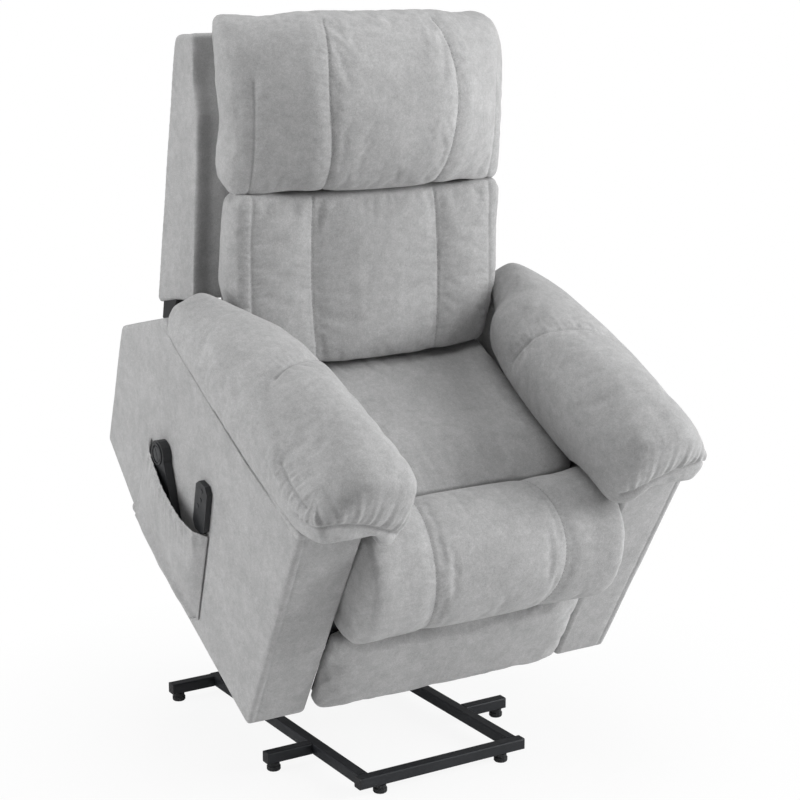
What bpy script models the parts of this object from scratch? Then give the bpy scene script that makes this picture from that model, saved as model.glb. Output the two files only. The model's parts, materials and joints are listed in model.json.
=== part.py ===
"""A lift recliner chair, raised and tipped forward for standing up.

Metres, +Z up. The chair faces -Y and X = 0 is its plane of symmetry. The floor is Z = 0 and
the origin lies on it, under the middle of the whole chair.
Pieces of the tipped chair are placed in the frame of the empty "chair": there local Y runs
back along the seat, local Z runs up square to it, and (0, 0, 0) is the lower front corner
of the side boxes. A pair written (back, up) or (y, z) is a place in such a side plane.
"""
import math

import bmesh
import bpy
from mathutils import Matrix, Vector

# ---- fits -------------------------------------------------------------------------------
GAP = 0.0003            # between faces that touch
PIN_GAP = 0.0005        # between a pin and its hole, which are both polygons
ROUND = 12              # sides of a round pin, hole or foot

# ---- base on the floor: places from the front face of the front crossbar -----------------
FRONT_FACE_Y = -0.1975
TUBE = 0.025            # square tube of the base
TUBE_WALL = 0.002
FOOT_HEIGHT = 0.0185
FOOT_RADIUS = 0.015
RAIL_OUTER_X = 0.199
FRONT_BAR_HALF = 0.205
FRONT_FOOT_X = FRONT_BAR_HALF - 0.053
OUTRIGGER_END_X = 0.305
OUTRIGGER_FOOT_X = 0.287
MIDDLE_OUTRIGGER_Y = 0.216
REAR_OUTRIGGER_Y = 0.687
PLATE = 0.004           # steel plate of brackets, ears and hinges
LINK_PLATE = 0.005      # steel plate of the lift links and the chassis sides

# ---- the tipped chair -------------------------------------------------------------------
TILT = math.radians(28.8)
CHAIR_Y = 0.040         # lower front corner of the side boxes, from the front face
CHAIR_Z = 0.196
LOWERED_Y = -0.090      # the same corner when the chair is down
LOWERED_Z = 0.035

# ---- lift linkage -----------------------------------------------------------------------
LONG_BASE = (0.660, 0.2000)     # pivots on the base, (y from the front face, z)
SHORT_BASE = (0.400, 0.1997)
LONG_CHAIR = (0.389, 0.050)     # pivots on the chassis, (back, up)
SHORT_CHAIR = (0.251, 0.076)
LIFT_LINK_WIDTH = 0.036
LIFT_PIN = 0.006
BRACKET_X = 0.184       # inner face of each layer, counted outwards
SHORT_LINK_X = 0.1905
LONG_LINK_X = 0.1985
SIDE_PLATE_X = 0.2100

# ---- actuator ---------------------------------------------------------------------------
MOTOR_PIVOT = (0.655, 0.085)    # on the base, (y from the front face, z)
ROD_PIVOT = (0.350, 0.200)      # on the chassis, (back, up)
ROD_RADIUS = 0.010
ROD_EYE = 0.013
ROD_IN_TUBE = 0.050             # length of rod left in the tube when it is out
ACTUATOR_TUBE = 0.330           # from the motor pivot to the mouth of the outer tube
GEARBOX_END = 0.084
MOTOR_RADIUS = 0.029
MOTOR_LENGTH = 0.115

# ---- seat -------------------------------------------------------------------------------
ARM_INNER_X = 0.3125
SEAT_SIDE_CLEAR = 0.0065           # between a side box and the seat or footrest
BACK_SIDE_CLEAR = 0.0030           # between a side box and the back
DECK_FRONT = 0.074
DECK_REAR = 0.610
DECK_UP = 0.267
DECK_THICK = 0.020
SEAT_SEAM = 0.143               # where the rear part of the seat meets the front bolster
SEAT_TOP = 0.447
SEAT_HALF = ARM_INNER_X - SEAT_SIDE_CLEAR
BACK_PIVOT = (0.675, 0.262)

# ---- footrest linkage, in the frame of the chair ------------------------------------------
DRIVE_PIVOT = (0.2000, 0.2250)      # drive link on the chassis
IDLER_PIVOT = (0.2371, 0.1973)      # idler link on the chassis
CARRIER_PIVOT = (0.3329, 0.1472)    # carrier link on the drive link
CONTROL_PIVOT = (0.3460, 0.1093)    # control link on the drive link
IDLER_END = (0.3734, 0.1187)        # idler link to carrier link
CARRIER_END = (0.0521, 0.2000)      # carrier link to footrest
CONTROL_END = (0.0500, 0.1450)      # control link to footrest
FOOT_PLATE = 0.0035
FOOT_HALF = 0.011                   # half the width of a footrest link
FOOT_PIN = 0.0045
FOOT_LAYERS = {"flange": 0.2110, "control": 0.2180, "idler": 0.2240, "drive": 0.2300,
               "carrier": 0.2360}   # inner faces

# ---- footrest panel -----------------------------------------------------------------------
PANEL_HALF = ARM_INNER_X - SEAT_SIDE_CLEAR
PANEL_FRONT = -0.020
PANEL_BOTTOM = 0.029
PANEL_TOP = 0.221
PAD_THICK = 0.043
BOARD_THICK = 0.006

# ---- side boxes and arm pads ---------------------------------------------------------------
BOX_TOP = 0.530
BOX_OUTLINE = ((0.0, 0.0), (0.50, 0.0), (0.790, 0.086), (0.826, 0.378), (0.655, BOX_TOP),
               (0.0, BOX_TOP))
BOX_OUTER_TOP_X = 0.460
BOX_OUTER_BOTTOM_X = 0.445
BOX_EDGE = 0.009

# ---- pocket and what is in it ---------------------------------------------------------------
POCKET_FRONT = 0.258            # lower front corner
POCKET_FRONT_LEAN = 0.034       # the upper front corner lies this much further back
POCKET_REAR = 0.602
POCKET_BOTTOM = 0.045
POCKET_TOP = 0.252
POCKET_SHEET = 0.0025
HANDSET_AT = (0.528, 0.270)         # middle of its head on the panel, (back, up)
REMOTE_AT = (0.335, 0.307)
HANDSET_TURN = math.radians(33)     # its handle, up from level
REMOTE_TURN = math.radians(-13)     # its length, back from upright
BUTTON_PROUD = 0.0012
BUTTON_SUNK = 0.0008
BUTTON_TRAVEL = 0.0010
POCKET_DEPTH = 0.041            # were the sheet as full everywhere as at its front


# ==== shape helpers =========================================================================
def clear_scene():
    for obj in list(bpy.data.objects):
        bpy.data.objects.remove(obj, do_unlink=True)


def collection(name):
    made = bpy.data.collections.new(name)
    bpy.context.scene.collection.children.link(made)
    return made


def material(name, colour, roughness, metallic=0.0):
    made = bpy.data.materials.new(name)
    made.use_nodes = True
    shader = made.node_tree.nodes["Principled BSDF"]
    shader.inputs["Base Color"].default_value = (*colour, 1.0)
    shader.inputs["Roughness"].default_value = roughness
    shader.inputs["Metallic"].default_value = metallic
    made.diffuse_color = (*colour, 1.0)
    return made


def add(name, data, surface, parent=None, location=(0, 0, 0), rotation=(0, 0, 0)):
    """An object of the part, with its own material slot."""
    obj = bpy.data.objects.new(name, data)
    PARTS.objects.link(obj)
    obj.parent = parent
    obj.location = location
    obj.rotation_euler = rotation
    if surface:
        data.materials.append(surface)
    return obj


def frame(name, parent=None, location=(0, 0, 0), turn=0.0):
    """An empty turned about X: the origin of a moving body, on its joint."""
    obj = bpy.data.objects.new(name, None)
    PARTS.objects.link(obj)
    obj.empty_display_size = 0.05
    obj.parent = parent
    obj.location = location
    obj.rotation_euler = (turn, 0, 0)
    return obj


def mesh_from(bm, name, smooth_angle=math.radians(35)):
    bmesh.ops.recalc_face_normals(bm, faces=bm.faces)
    data = bpy.data.meshes.new(name)
    bm.to_mesh(data)
    bm.free()
    data.shade_smooth()
    data.set_sharp_from_angle(angle=smooth_angle)
    return data


def as_mesh(obj):
    """The evaluated object as a welded mesh object, in its place."""
    bpy.context.view_layer.update()
    graph = bpy.context.evaluated_depsgraph_get()
    data = bpy.data.meshes.new_from_object(obj.evaluated_get(graph))
    bm = bmesh.new()
    bm.from_mesh(data)
    bmesh.ops.remove_doubles(bm, verts=bm.verts, dist=5e-6)
    bmesh.ops.dissolve_limit(bm, angle_limit=0.0005, verts=bm.verts, edges=bm.edges)
    if obj.type == "CURVE":
        bmesh.ops.recalc_face_normals(bm, faces=bm.faces)
    bm.to_mesh(data)
    bm.free()
    name = obj.name
    obj.name = name + "_source"
    made = bpy.data.objects.new(name, data)
    data.name = name
    PARTS.objects.link(made)
    made.parent = obj.parent
    made.matrix_parent_inverse = obj.matrix_parent_inverse
    made.matrix_basis = obj.matrix_basis
    bpy.data.objects.remove(obj, do_unlink=True)
    return made


def combine(target, others, operation="UNION"):
    """Joins solids to the target, or cuts them from it, and returns the one solid left."""
    target = as_mesh(target)
    others = [as_mesh(other) for other in others]
    for other in others:
        modifier = target.modifiers.new(operation.lower(), "BOOLEAN")
        modifier.operation = operation
        modifier.object = other
        modifier.solver = "EXACT"
    made = as_mesh(target)
    for other in others:
        bpy.data.objects.remove(other, do_unlink=True)
    made.data.shade_smooth()
    made.data.set_sharp_from_angle(angle=math.radians(35))
    return made


def box(name, low, high, surface, parent=None, edge=0.0, segments=2):
    low, high = Vector(low), Vector(high)
    bm = bmesh.new()
    bmesh.ops.create_cube(bm, size=1.0)
    bmesh.ops.scale(bm, vec=high - low, verts=bm.verts)
    if edge:
        bmesh.ops.bevel(bm, geom=bm.edges, offset=edge, segments=segments, profile=0.5,
                        affect="EDGES")
    return add(name, mesh_from(bm, name), surface, parent, (low + high) / 2)


def rod_x(name, centre, start, end, radius, surface, parent=None, sides=ROUND):
    """A round bar along X with its axis through (y, z)."""
    bm = bmesh.new()
    bmesh.ops.create_cone(bm, cap_ends=True, segments=sides, radius1=radius, radius2=radius,
                          depth=abs(end - start))
    bmesh.ops.rotate(bm, matrix=Matrix.Rotation(math.pi / 2, 3, "Y"), verts=bm.verts)
    return add(name, mesh_from(bm, name), surface, parent, ((start + end) / 2, *centre))


def rod_y(name, centre, start, end, radius, surface, parent=None, sides=ROUND):
    """A round bar along Y with its axis through (x, z)."""
    bm = bmesh.new()
    bmesh.ops.create_cone(bm, cap_ends=True, segments=sides, radius1=radius, radius2=radius,
                          depth=abs(end - start))
    bmesh.ops.rotate(bm, matrix=Matrix.Rotation(math.pi / 2, 3, "X"), verts=bm.verts)
    return add(name, mesh_from(bm, name), surface, parent,
               (centre[0], (start + end) / 2, centre[1]))


AXIS_TURN = {"X": (math.pi / 2, 0, math.pi / 2), "Y": (math.pi / 2, 0, 0), "Z": (0, 0, 0)}


def outline_solid(name, outline, axis, middle, thickness, surface, parent=None, holes=()):
    """A flat outline with holes, extruded along an axis. X takes (y, z) points, Y takes (x, z)."""
    data = bpy.data.curves.new(name, "CURVE")
    data.dimensions = "2D"
    data.fill_mode = "BOTH"
    data.extrude = thickness / 2
    for points in (outline, *holes):
        spline = data.splines.new("POLY")
        spline.points.add(len(points) - 1)
        for point, place in zip(spline.points, points):
            point.co = (*place, 0, 1)
        spline.use_cyclic_u = True
    location = {"X": (middle, 0, 0), "Y": (0, middle, 0), "Z": (0, 0, middle)}[axis]
    return add(name, data, surface, parent, location, AXIS_TURN[axis])


def circle(centre, radius, sides=ROUND):
    return [(centre[0] + radius * math.cos(2 * math.pi * (i + 0.5) / sides),
             centre[1] + radius * math.sin(2 * math.pi * (i + 0.5) / sides))
            for i in range(sides)]


def hole(centre, pin_radius, sides=ROUND):
    """A round hole whose flats clear the pin's corners."""
    return circle(centre, (pin_radius + PIN_GAP) / math.cos(math.pi / sides), sides)


def hull_of_circles(circles, steps=6):
    """The outline that a band would take around circles ((y, z), radius) given in turn."""
    outline = []
    count = len(circles)
    for i, (centre, radius) in enumerate(circles):
        before, before_radius = circles[i - 1]
        after, after_radius = circles[(i + 1) % count]
        start = tangent_angle(before, before_radius, centre, radius)
        end = tangent_angle(centre, radius, after, after_radius)
        sweep = (end - start) % (2 * math.pi)
        for k in range(steps + 1):
            angle = start + sweep * k / steps
            outline.append((centre[0] + radius * math.cos(angle),
                            centre[1] + radius * math.sin(angle)))
    return outline


def tangent_angle(first, first_radius, second, second_radius):
    """Direction of the outer tangent's normal, for circles taken anticlockwise."""
    along = math.atan2(second[1] - first[1], second[0] - first[0])
    distance = math.dist(first, second)
    return along - math.pi / 2 + math.asin((second_radius - first_radius) / distance)


def rounded_square(centre, side, radius, steps=2):
    half = side / 2 - radius
    points = []
    for corner in range(4):
        start = corner * math.pi / 2
        mid = (half if corner in (0, 3) else -half, half if corner in (0, 1) else -half)
        for k in range(steps + 1):
            angle = start + math.pi / 2 * k / steps
            points.append((centre[0] + mid[0] + radius * math.cos(angle),
                           centre[1] + mid[1] + radius * math.sin(angle)))
    return points


def square_tube(name, centre, side, axis, start, end, surface, parent=None):
    """A square tube along X, with its centre at (y, z), or along Y, at (x, z)."""
    inner = rounded_square(centre, side - 2 * TUBE_WALL, 0.001, 1)
    return outline_solid(name, rounded_square(centre, side, 0.003), axis, (start + end) / 2,
                         end - start, surface, parent, holes=(inner,))


def turned(name, profile, surface, parent=None, location=(0, 0, 0), rotation=(0, 0, 0)):
    """A profile of (radius, z) from the top down, turned about Z."""
    bm = bmesh.new()
    verts = [bm.verts.new((radius, 0, z)) for radius, z in profile]
    for pair in zip(verts, verts[1:]):
        bm.edges.new(pair)
    data = bpy.data.meshes.new(name)
    bm.to_mesh(data)
    bm.free()
    obj = add(name, data, surface, parent, location, rotation)
    screw = obj.modifiers.new("turn", "SCREW")
    screw.steps = screw.render_steps = ROUND
    screw.use_merge_vertices = True
    screw.merge_threshold = 0.00001
    return obj


def between(first, second):
    """Length and direction from one (y, z) place to another."""
    return (math.dist(first, second),
            math.atan2(second[1] - first[1], second[0] - first[0]))


def turned_place(place, angle, centre=(0.0, 0.0)):
    y, z = place[0] - centre[0], place[1] - centre[1]
    return (centre[0] + y * math.cos(angle) - z * math.sin(angle),
            centre[1] + y * math.sin(angle) + z * math.cos(angle))


def from_front(place):
    """A base place (y from the front face, z) in the world."""
    return (FRONT_FACE_Y + place[0], place[1])


def chair_to_base(place):
    """Where a chair place lies when raised, as (y from the front face, z)."""
    y, z = turned_place(place, TILT)
    return (CHAIR_Y + y, CHAIR_Z + z)


def cage(name, rings, surface, parent, creased=()):
    """A closed form lofted through rings of (x, back, up) points and subdivided once.

    The edges that run from ring to ring at the creased places of a ring stay sharp.
    """
    bm = bmesh.new()
    rows = [[bm.verts.new(point) for point in ring] for ring in rings]
    count = len(rings[0])
    for row, following in zip(rows, rows[1:]):
        for i in range(count):
            j = (i + 1) % count
            bm.faces.new((row[i], row[j], following[j], following[i]))
    bm.faces.new(rows[0])
    bm.faces.new(rows[-1])
    sharp = bm.edges.layers.float.new("crease_edge")
    for row, following in zip(rows, rows[1:]):
        for i in creased:
            bm.edges.get((row[i], following[i]))[sharp] = 1.0
    data = mesh_from(bm, name, math.radians(80))
    obj = add(name, data, surface, parent)
    modifier = obj.modifiers.new("soft", "SUBSURF")
    modifier.levels = modifier.render_levels = 1
    return obj


# ==== base =====================================================================================
def base_tubes():
    middle = FOOT_HEIGHT + TUBE / 2
    rail_x = RAIL_OUTER_X - TUBE / 2
    front = FRONT_FACE_Y
    rear = front + REAR_OUTRIGGER_Y + TUBE
    square_tube("front_crossbar", (front + TUBE / 2, middle), TUBE, "X", -FRONT_BAR_HALF,
                FRONT_BAR_HALF, STEEL)
    bar = square_tube("rear_crossbar", (rear - TUBE / 2, middle), TUBE, "X",
                      -RAIL_OUTER_X + TUBE + GAP, RAIL_OUTER_X - TUBE - GAP, STEEL)
    combine(bar, [actuator_ear(side, rear, middle) for side in (-1, 1)])
    for side, label in SIDES:
        square_tube("side_rail_" + label, (side * rail_x, middle), TUBE, "Y",
                    front + TUBE + GAP, rear, STEEL)
        ends = sorted((side * (RAIL_OUTER_X + GAP), side * OUTRIGGER_END_X))
        for name, place in (("middle", MIDDLE_OUTRIGGER_Y), ("rear", REAR_OUTRIGGER_Y)):
            square_tube(name + "_outrigger_" + label, (front + place + TUBE / 2, middle), TUBE,
                        "X", *ends, STEEL)
            foot("foot_" + name + "_" + label, side * OUTRIGGER_FOOT_X,
                 front + place + TUBE / 2)
        foot("foot_front_" + label, side * FRONT_FOOT_X, front + TUBE / 2)


def foot(name, x, y):
    """A moulded foot: a wide lower pad under a slightly narrower neck."""
    top = FOOT_HEIGHT - GAP
    profile = [(0, top), (FOOT_RADIUS - 0.002, top), (FOOT_RADIUS - 0.002, top * 0.62),
               (FOOT_RADIUS, top * 0.55), (FOOT_RADIUS, 0.002), (FOOT_RADIUS - 0.002, 0),
               (0, 0)]
    turned(name, profile, PLASTIC, None, (x, y, 0))


def actuator_ear(side, rear, middle):
    """One of the two ears on the rear crossbar that hold the motor end's pin."""
    y, z = from_front(MOTOR_PIVOT)
    outline = hull_of_circles([((y, z), 0.014), ((rear - TUBE * 0.75, middle), 0.008),
                               ((rear - TUBE * 0.3, middle + 0.004), 0.006)])
    pin = hole((y, z), LIFT_PIN - PIN_GAP, 12)
    return outline_solid("ear", outline, "X", side * 0.0180, PLATE, STEEL, holes=(pin,))


def lift_bracket(side, label):
    """A plate on the side rail with the two base pivots, their pins and pin heads."""
    long_at, short_at = from_front(LONG_BASE), from_front(SHORT_BASE)
    foot_z = FOOT_HEIGHT + TUBE + GAP
    outline = hull_of_circles([((short_at[0] + 0.006, foot_z + 0.006), 0.006),
                               ((long_at[0] + 0.012, foot_z + 0.006), 0.006),
                               (long_at, 0.020), (short_at, 0.018)])
    middle = ((short_at[0] + long_at[0]) / 2, (foot_z + short_at[1]) / 2)
    window = hull_of_circles([((middle[0] - 0.055, middle[1]), 0.022),
                              ((middle[0] + 0.055, middle[1]), 0.022)], 4)
    plate = outline_solid("lift_bracket_" + label, outline, "X",
                          side * (BRACKET_X + PLATE / 2), PLATE, STEEL, holes=(window,))
    pins = []
    for centre, layer in ((long_at, LONG_LINK_X), (short_at, SHORT_LINK_X)):
        face = layer + LINK_PLATE + PIN_GAP
        pins.append(rod_x("pin", centre, side * (BRACKET_X + 0.001), side * (face + 0.001),
                          LIFT_PIN, STEEL))
        pins.append(rod_x("pin_head", centre, side * face, side * (face + 0.002),
                          LIFT_PIN * 1.6, STEEL))
    combine(plate, pins)


# ==== lift links and actuator ======================================================================
def link_outline(length, width):
    return hull_of_circles([((0.0, 0.0), width / 2), ((length, 0.0), width / 2)], 8)


def lift_links():
    long_length, long_turn = between(LONG_BASE, chair_to_base(LONG_CHAIR))
    short_length, short_turn = between(SHORT_BASE, chair_to_base(SHORT_CHAIR))
    long_frame = frame("long_links", None, (0, *from_front(LONG_BASE)), long_turn)
    short_frame = frame("short_links", None, (0, *from_front(SHORT_BASE)), short_turn)
    for side, label in SIDES:
        outline_solid("long_link_" + label, link_outline(long_length, LIFT_LINK_WIDTH), "X",
                      side * (LONG_LINK_X + LINK_PLATE / 2), LINK_PLATE, STEEL, long_frame,
                      holes=(hole((0, 0), LIFT_PIN), hole((long_length, 0), LIFT_PIN)))
        plate = outline_solid("short_link_" + label,
                              link_outline(short_length, LIFT_LINK_WIDTH), "X",
                              side * (SHORT_LINK_X + LINK_PLATE / 2), LINK_PLATE, STEEL,
                              short_frame, holes=(hole((0, 0), LIFT_PIN),))
        stud = rod_x("stud", (short_length, 0), side * (SHORT_LINK_X + 0.002),
                     side * (SIDE_PLATE_X - GAP), LIFT_PIN * 1.3, STEEL, short_frame)
        combine(plate, [stud])


def actuator():
    """Motor, gearbox and tube on the base pivot, and the rod that slides in the tube."""
    length, turn = between(MOTOR_PIVOT, chair_to_base(ROD_PIVOT))
    body = frame("actuator", None, (0, *from_front(MOTOR_PIVOT)), turn)
    ear_inner = 0.0180 - PLATE / 2
    boss = rod_x("actuator_housing", (0, 0), -ear_inner + PIN_GAP, ear_inner - PIN_GAP, 0.013,
                 PLASTIC, body)
    gearbox = box("gearbox", (-0.026, 0.016, -0.024), (0.026, GEARBOX_END, 0.026), PLASTIC,
                  body, 0.005)
    neck = box("neck", (-ear_inner + 0.002, 0.002, -0.011), (ear_inner - 0.002, 0.03, 0.011),
               PLASTIC, body)
    motor = rod_x("motor", (0.050, 0.0), 0.018, 0.018 + MOTOR_LENGTH, MOTOR_RADIUS, PLASTIC,
                  body, 20)
    cap = rod_x("motor_cap", (0.050, 0.0), 0.015 + MOTOR_LENGTH, 0.024 + MOTOR_LENGTH,
                MOTOR_RADIUS * 0.8, PLASTIC, body, 20)
    barrel = rod_y("barrel", (0, 0), GEARBOX_END - 0.008, ACTUATOR_TUBE, 0.0175, PLASTIC, body)
    collar = rod_y("collar", (0, 0), ACTUATOR_TUBE - 0.022, ACTUATOR_TUBE + 0.002, 0.0195,
                   PLASTIC, body)
    pin = rod_x("motor_pin", (0, 0), -ear_inner - PLATE - 0.003, ear_inner + PLATE + 0.003,
                LIFT_PIN - 2 * PIN_GAP, PLASTIC, body, 12)
    housing = combine(boss, [neck, gearbox, motor, cap, barrel, collar, pin])
    bore_radius = (ROD_RADIUS + PIN_GAP) / math.cos(math.pi / ROUND)
    lowered = math.dist(MOTOR_PIVOT, (LOWERED_Y + ROD_PIVOT[0], LOWERED_Z + ROD_PIVOT[1]))
    rod_start = ACTUATOR_TUBE - ROD_IN_TUBE
    bore_start = rod_start - (length - lowered) - 0.004
    bore = rod_y("bore", (0, 0), bore_start, ACTUATOR_TUBE + 0.02, bore_radius, None, body)
    combine(housing, [bore], "DIFFERENCE")
    rod = rod_y("actuator_rod", (0, 0), rod_start, length - ROD_EYE * 0.4, ROD_RADIUS, CHROME,
                body)
    eye = rod_x("eye", (length, 0), -0.009, 0.009, ROD_EYE, CHROME, body)
    pin = rod_x("rod_pin", (length, 0), -0.0115, 0.0115, LIFT_PIN, CHROME, body)
    combine(rod, [eye, pin])


# ==== chassis ======================================================================================
def side_plate(side, label):
    """Steel side of the chassis: it carries the lift links, footrest links and back pivot."""
    top = DECK_UP - GAP
    outline = hull_of_circles([((DECK_FRONT + 0.028, DRIVE_PIVOT[1] - 0.004), 0.014),
                               ((SHORT_CHAIR[0] - 0.012, SHORT_CHAIR[1]), 0.022),
                               (LONG_CHAIR, 0.022), (BACK_PIVOT, 0.016),
                               ((DECK_FRONT + 0.018, top - 0.006), 0.006)], 4)
    outline.insert(-5, (DECK_REAR + 0.025, top))
    slot = hull_of_circles([((0.300, 0.155), 0.018), ((0.400, 0.155), 0.018)], 3)
    plate = outline_solid("side_plate_" + label, outline, "X",
                          side * (SIDE_PLATE_X + LINK_PLATE / 2), LINK_PLATE, STEEL, CHAIR,
                          holes=(slot,))
    outer = SIDE_PLATE_X + LINK_PLATE
    added = []

    def stem(centre, start, end, radius):
        added.append(rod_x("stem", centre, side * start, side * end, radius, STEEL, CHAIR))

    inner_end = LONG_LINK_X - PIN_GAP
    stem(LONG_CHAIR, inner_end - 0.001, outer - 0.001, LIFT_PIN)
    stem(LONG_CHAIR, inner_end - 0.0015, inner_end, LIFT_PIN * 1.6)
    for centre in (LONG_CHAIR, SHORT_CHAIR):
        stem(centre, outer - 0.002, outer + 0.0025, LIFT_PIN * 1.6)
    for centre, layer in ((DRIVE_PIVOT, "drive"), (IDLER_PIVOT, "idler")):
        face = FOOT_LAYERS[layer] + FOOT_PLATE + PIN_GAP
        stem(centre, outer - 0.001, face + 0.0005, FOOT_PIN)
        stem(centre, face, face + 0.001, FOOT_PIN * 1.6)
    hinge_face = outer + PIN_GAP + PLATE + PIN_GAP
    stem(BACK_PIVOT, outer - 0.001, hinge_face + 0.001, LIFT_PIN)
    stem(BACK_PIVOT, hinge_face, hinge_face + 0.0025, LIFT_PIN * 1.6)
    combine(plate, added)


def cross_tubes():
    reach = SIDE_PLATE_X - GAP
    square_tube("front_cross_tube", (0.100, 0.240), TUBE, "X", -reach, reach, STEEL, CHAIR)
    square_tube("rear_cross_tube", (0.585, 0.238), TUBE, "X", -reach, reach, STEEL, CHAIR)
    centre = (ROD_PIVOT[0] - 0.032, ROD_PIVOT[1] + 0.044)
    tube = outline_solid("drive_tube", rounded_square(centre, TUBE, 0.003), "X", 0, 2 * reach,
                         STEEL, CHAIR)
    ears = []
    for side in (-1, 1):
        outline = hull_of_circles([(ROD_PIVOT, 0.014), (centre, 0.012)])
        ears.append(outline_solid("ear", outline, "X", side * 0.0140, PLATE, STEEL, CHAIR))
        ears.append(rod_x("head", ROD_PIVOT, side * 0.0155, side * 0.0200, 0.009, STEEL,
                          CHAIR))
    combine(tube, ears)


def seat_deck():
    """A plywood ring between the side boxes, and the sinuous spring wire in its opening."""
    half = ARM_INNER_X - GAP
    opening_half, front, rear = 0.195, DECK_FRONT + 0.035, DECK_REAR - 0.050
    data_outline = [(-half, DECK_FRONT), (half, DECK_FRONT), (half, DECK_REAR),
                    (-half, DECK_REAR)]
    corner = 0.02
    window = [(-opening_half, front + corner), (-opening_half + corner, front),
              (opening_half - corner, front), (opening_half, front + corner),
              (opening_half, rear - corner), (opening_half - corner, rear),
              (-opening_half + corner, rear), (-opening_half, rear - corner)]
    outline_solid("seat_deck", data_outline, "Z", DECK_UP + DECK_THICK / 2, DECK_THICK, WOOD,
                  CHAIR, holes=(window,))
    wire = 0.0018
    near, far = front + wire + GAP, rear - wire - GAP
    runs, reach = 9, 0.150
    pitch = 2 * reach / (runs - 1)
    bend = pitch / 2
    points = []
    for run in range(runs):
        x = -reach + run * pitch
        ends = [(x, near + bend), (x, far - bend)]
        points += ends if run % 2 == 0 else ends[::-1]
        if run == runs - 1:
            break
        out = 1 if run % 2 == 0 else -1
        centre_y = far - bend if out > 0 else near + bend
        for k in (1, 2, 3):
            angle = math.pi - math.pi * k / 4
            points.append((x + bend + bend * math.cos(angle),
                           centre_y + out * bend * math.sin(angle)))
    data = bpy.data.curves.new("seat_spring", "CURVE")
    data.dimensions = "3D"
    data.bevel_depth = wire
    data.bevel_resolution = 0
    data.use_fill_caps = True
    spline = data.splines.new("POLY")
    spline.points.add(len(points) - 1)
    for point, (x, y) in zip(spline.points, points):
        point.co = (x, y, 0, 1)
    add("seat_spring", data, SPRING, CHAIR, (0, 0, DECK_UP + DECK_THICK - wire - 0.001))


# ==== footrest =======================================================================================
def relative(place, origin):
    return (place[0] - origin[0], place[1] - origin[1])


def foot_link(name, side, label, layer, pivots, origin, parent, holes):
    """A footrest link: a plate around its pivots, with a hole for each pin that passes it."""
    outline = hull_of_circles([(relative(pivot, origin), FOOT_HALF) for pivot in pivots], 4)
    return outline_solid(name + "_" + label, outline, "X",
                         side * (FOOT_LAYERS[layer] + FOOT_PLATE / 2), FOOT_PLATE, STEEL,
                         parent, holes=[hole(relative(pivot, origin), FOOT_PIN)
                                        for pivot in holes])


def footrest_links():
    """Two sets of four links, each in a layer of its own, and the footrest that they carry."""
    drive = frame("footrest_drive", CHAIR, (0, *DRIVE_PIVOT))
    idler = frame("footrest_idler", CHAIR, (0, *IDLER_PIVOT))
    carrier = frame("footrest_carrier", drive, (0, *relative(CARRIER_PIVOT, DRIVE_PIVOT)))
    control = frame("footrest_control", drive, (0, *relative(CONTROL_PIVOT, DRIVE_PIVOT)))
    for side, label in SIDES:
        def stem(centre, start, end, parent, radius=FOOT_PIN):
            return rod_x("stem", centre, side * start, side * end, radius, STEEL, parent)

        at = FOOT_LAYERS
        plate = foot_link("drive_link", side, label, "drive",
                          (DRIVE_PIVOT, CONTROL_PIVOT, CARRIER_PIVOT), DRIVE_PIVOT, drive,
                          (DRIVE_PIVOT,))
        outward = relative(CARRIER_PIVOT, DRIVE_PIVOT)
        inward = relative(CONTROL_PIVOT, DRIVE_PIVOT)
        outer_face = at["carrier"] + FOOT_PLATE + PIN_GAP
        inner_face = at["control"] - PIN_GAP
        combine(plate, [stem(outward, at["drive"] + 0.001, outer_face + 0.0005, drive),
                        stem(outward, outer_face, outer_face + 0.001, drive, FOOT_PIN * 1.6),
                        stem(inward, at["drive"] + 0.001, inner_face - 0.0005, drive),
                        stem(inward, inner_face, inner_face - 0.001, drive, FOOT_PIN * 1.6)])

        plate = foot_link("idler_link", side, label, "idler", (IDLER_PIVOT, IDLER_END),
                          IDLER_PIVOT, idler, (IDLER_PIVOT,))
        combine(plate, [stem(relative(IDLER_END, IDLER_PIVOT), at["idler"] + 0.001,
                             at["carrier"] - PIN_GAP, idler)])

        foot_link("carrier_link", side, label, "carrier",
                  (CARRIER_END, IDLER_END, CARRIER_PIVOT), CARRIER_PIVOT, carrier,
                  (CARRIER_PIVOT, CARRIER_END))

        plate = foot_link("control_link", side, label, "control", (CONTROL_END, CONTROL_PIVOT),
                          CONTROL_PIVOT, control, (CONTROL_PIVOT,))
        flange_outer = at["flange"] + PLATE
        combine(plate, [stem(relative(CONTROL_END, CONTROL_PIVOT), at["control"] + 0.001,
                             flange_outer + PIN_GAP, control)])
    footrest_board(frame("footrest", carrier, (0, *relative(CARRIER_END, CARRIER_PIVOT))))


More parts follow.
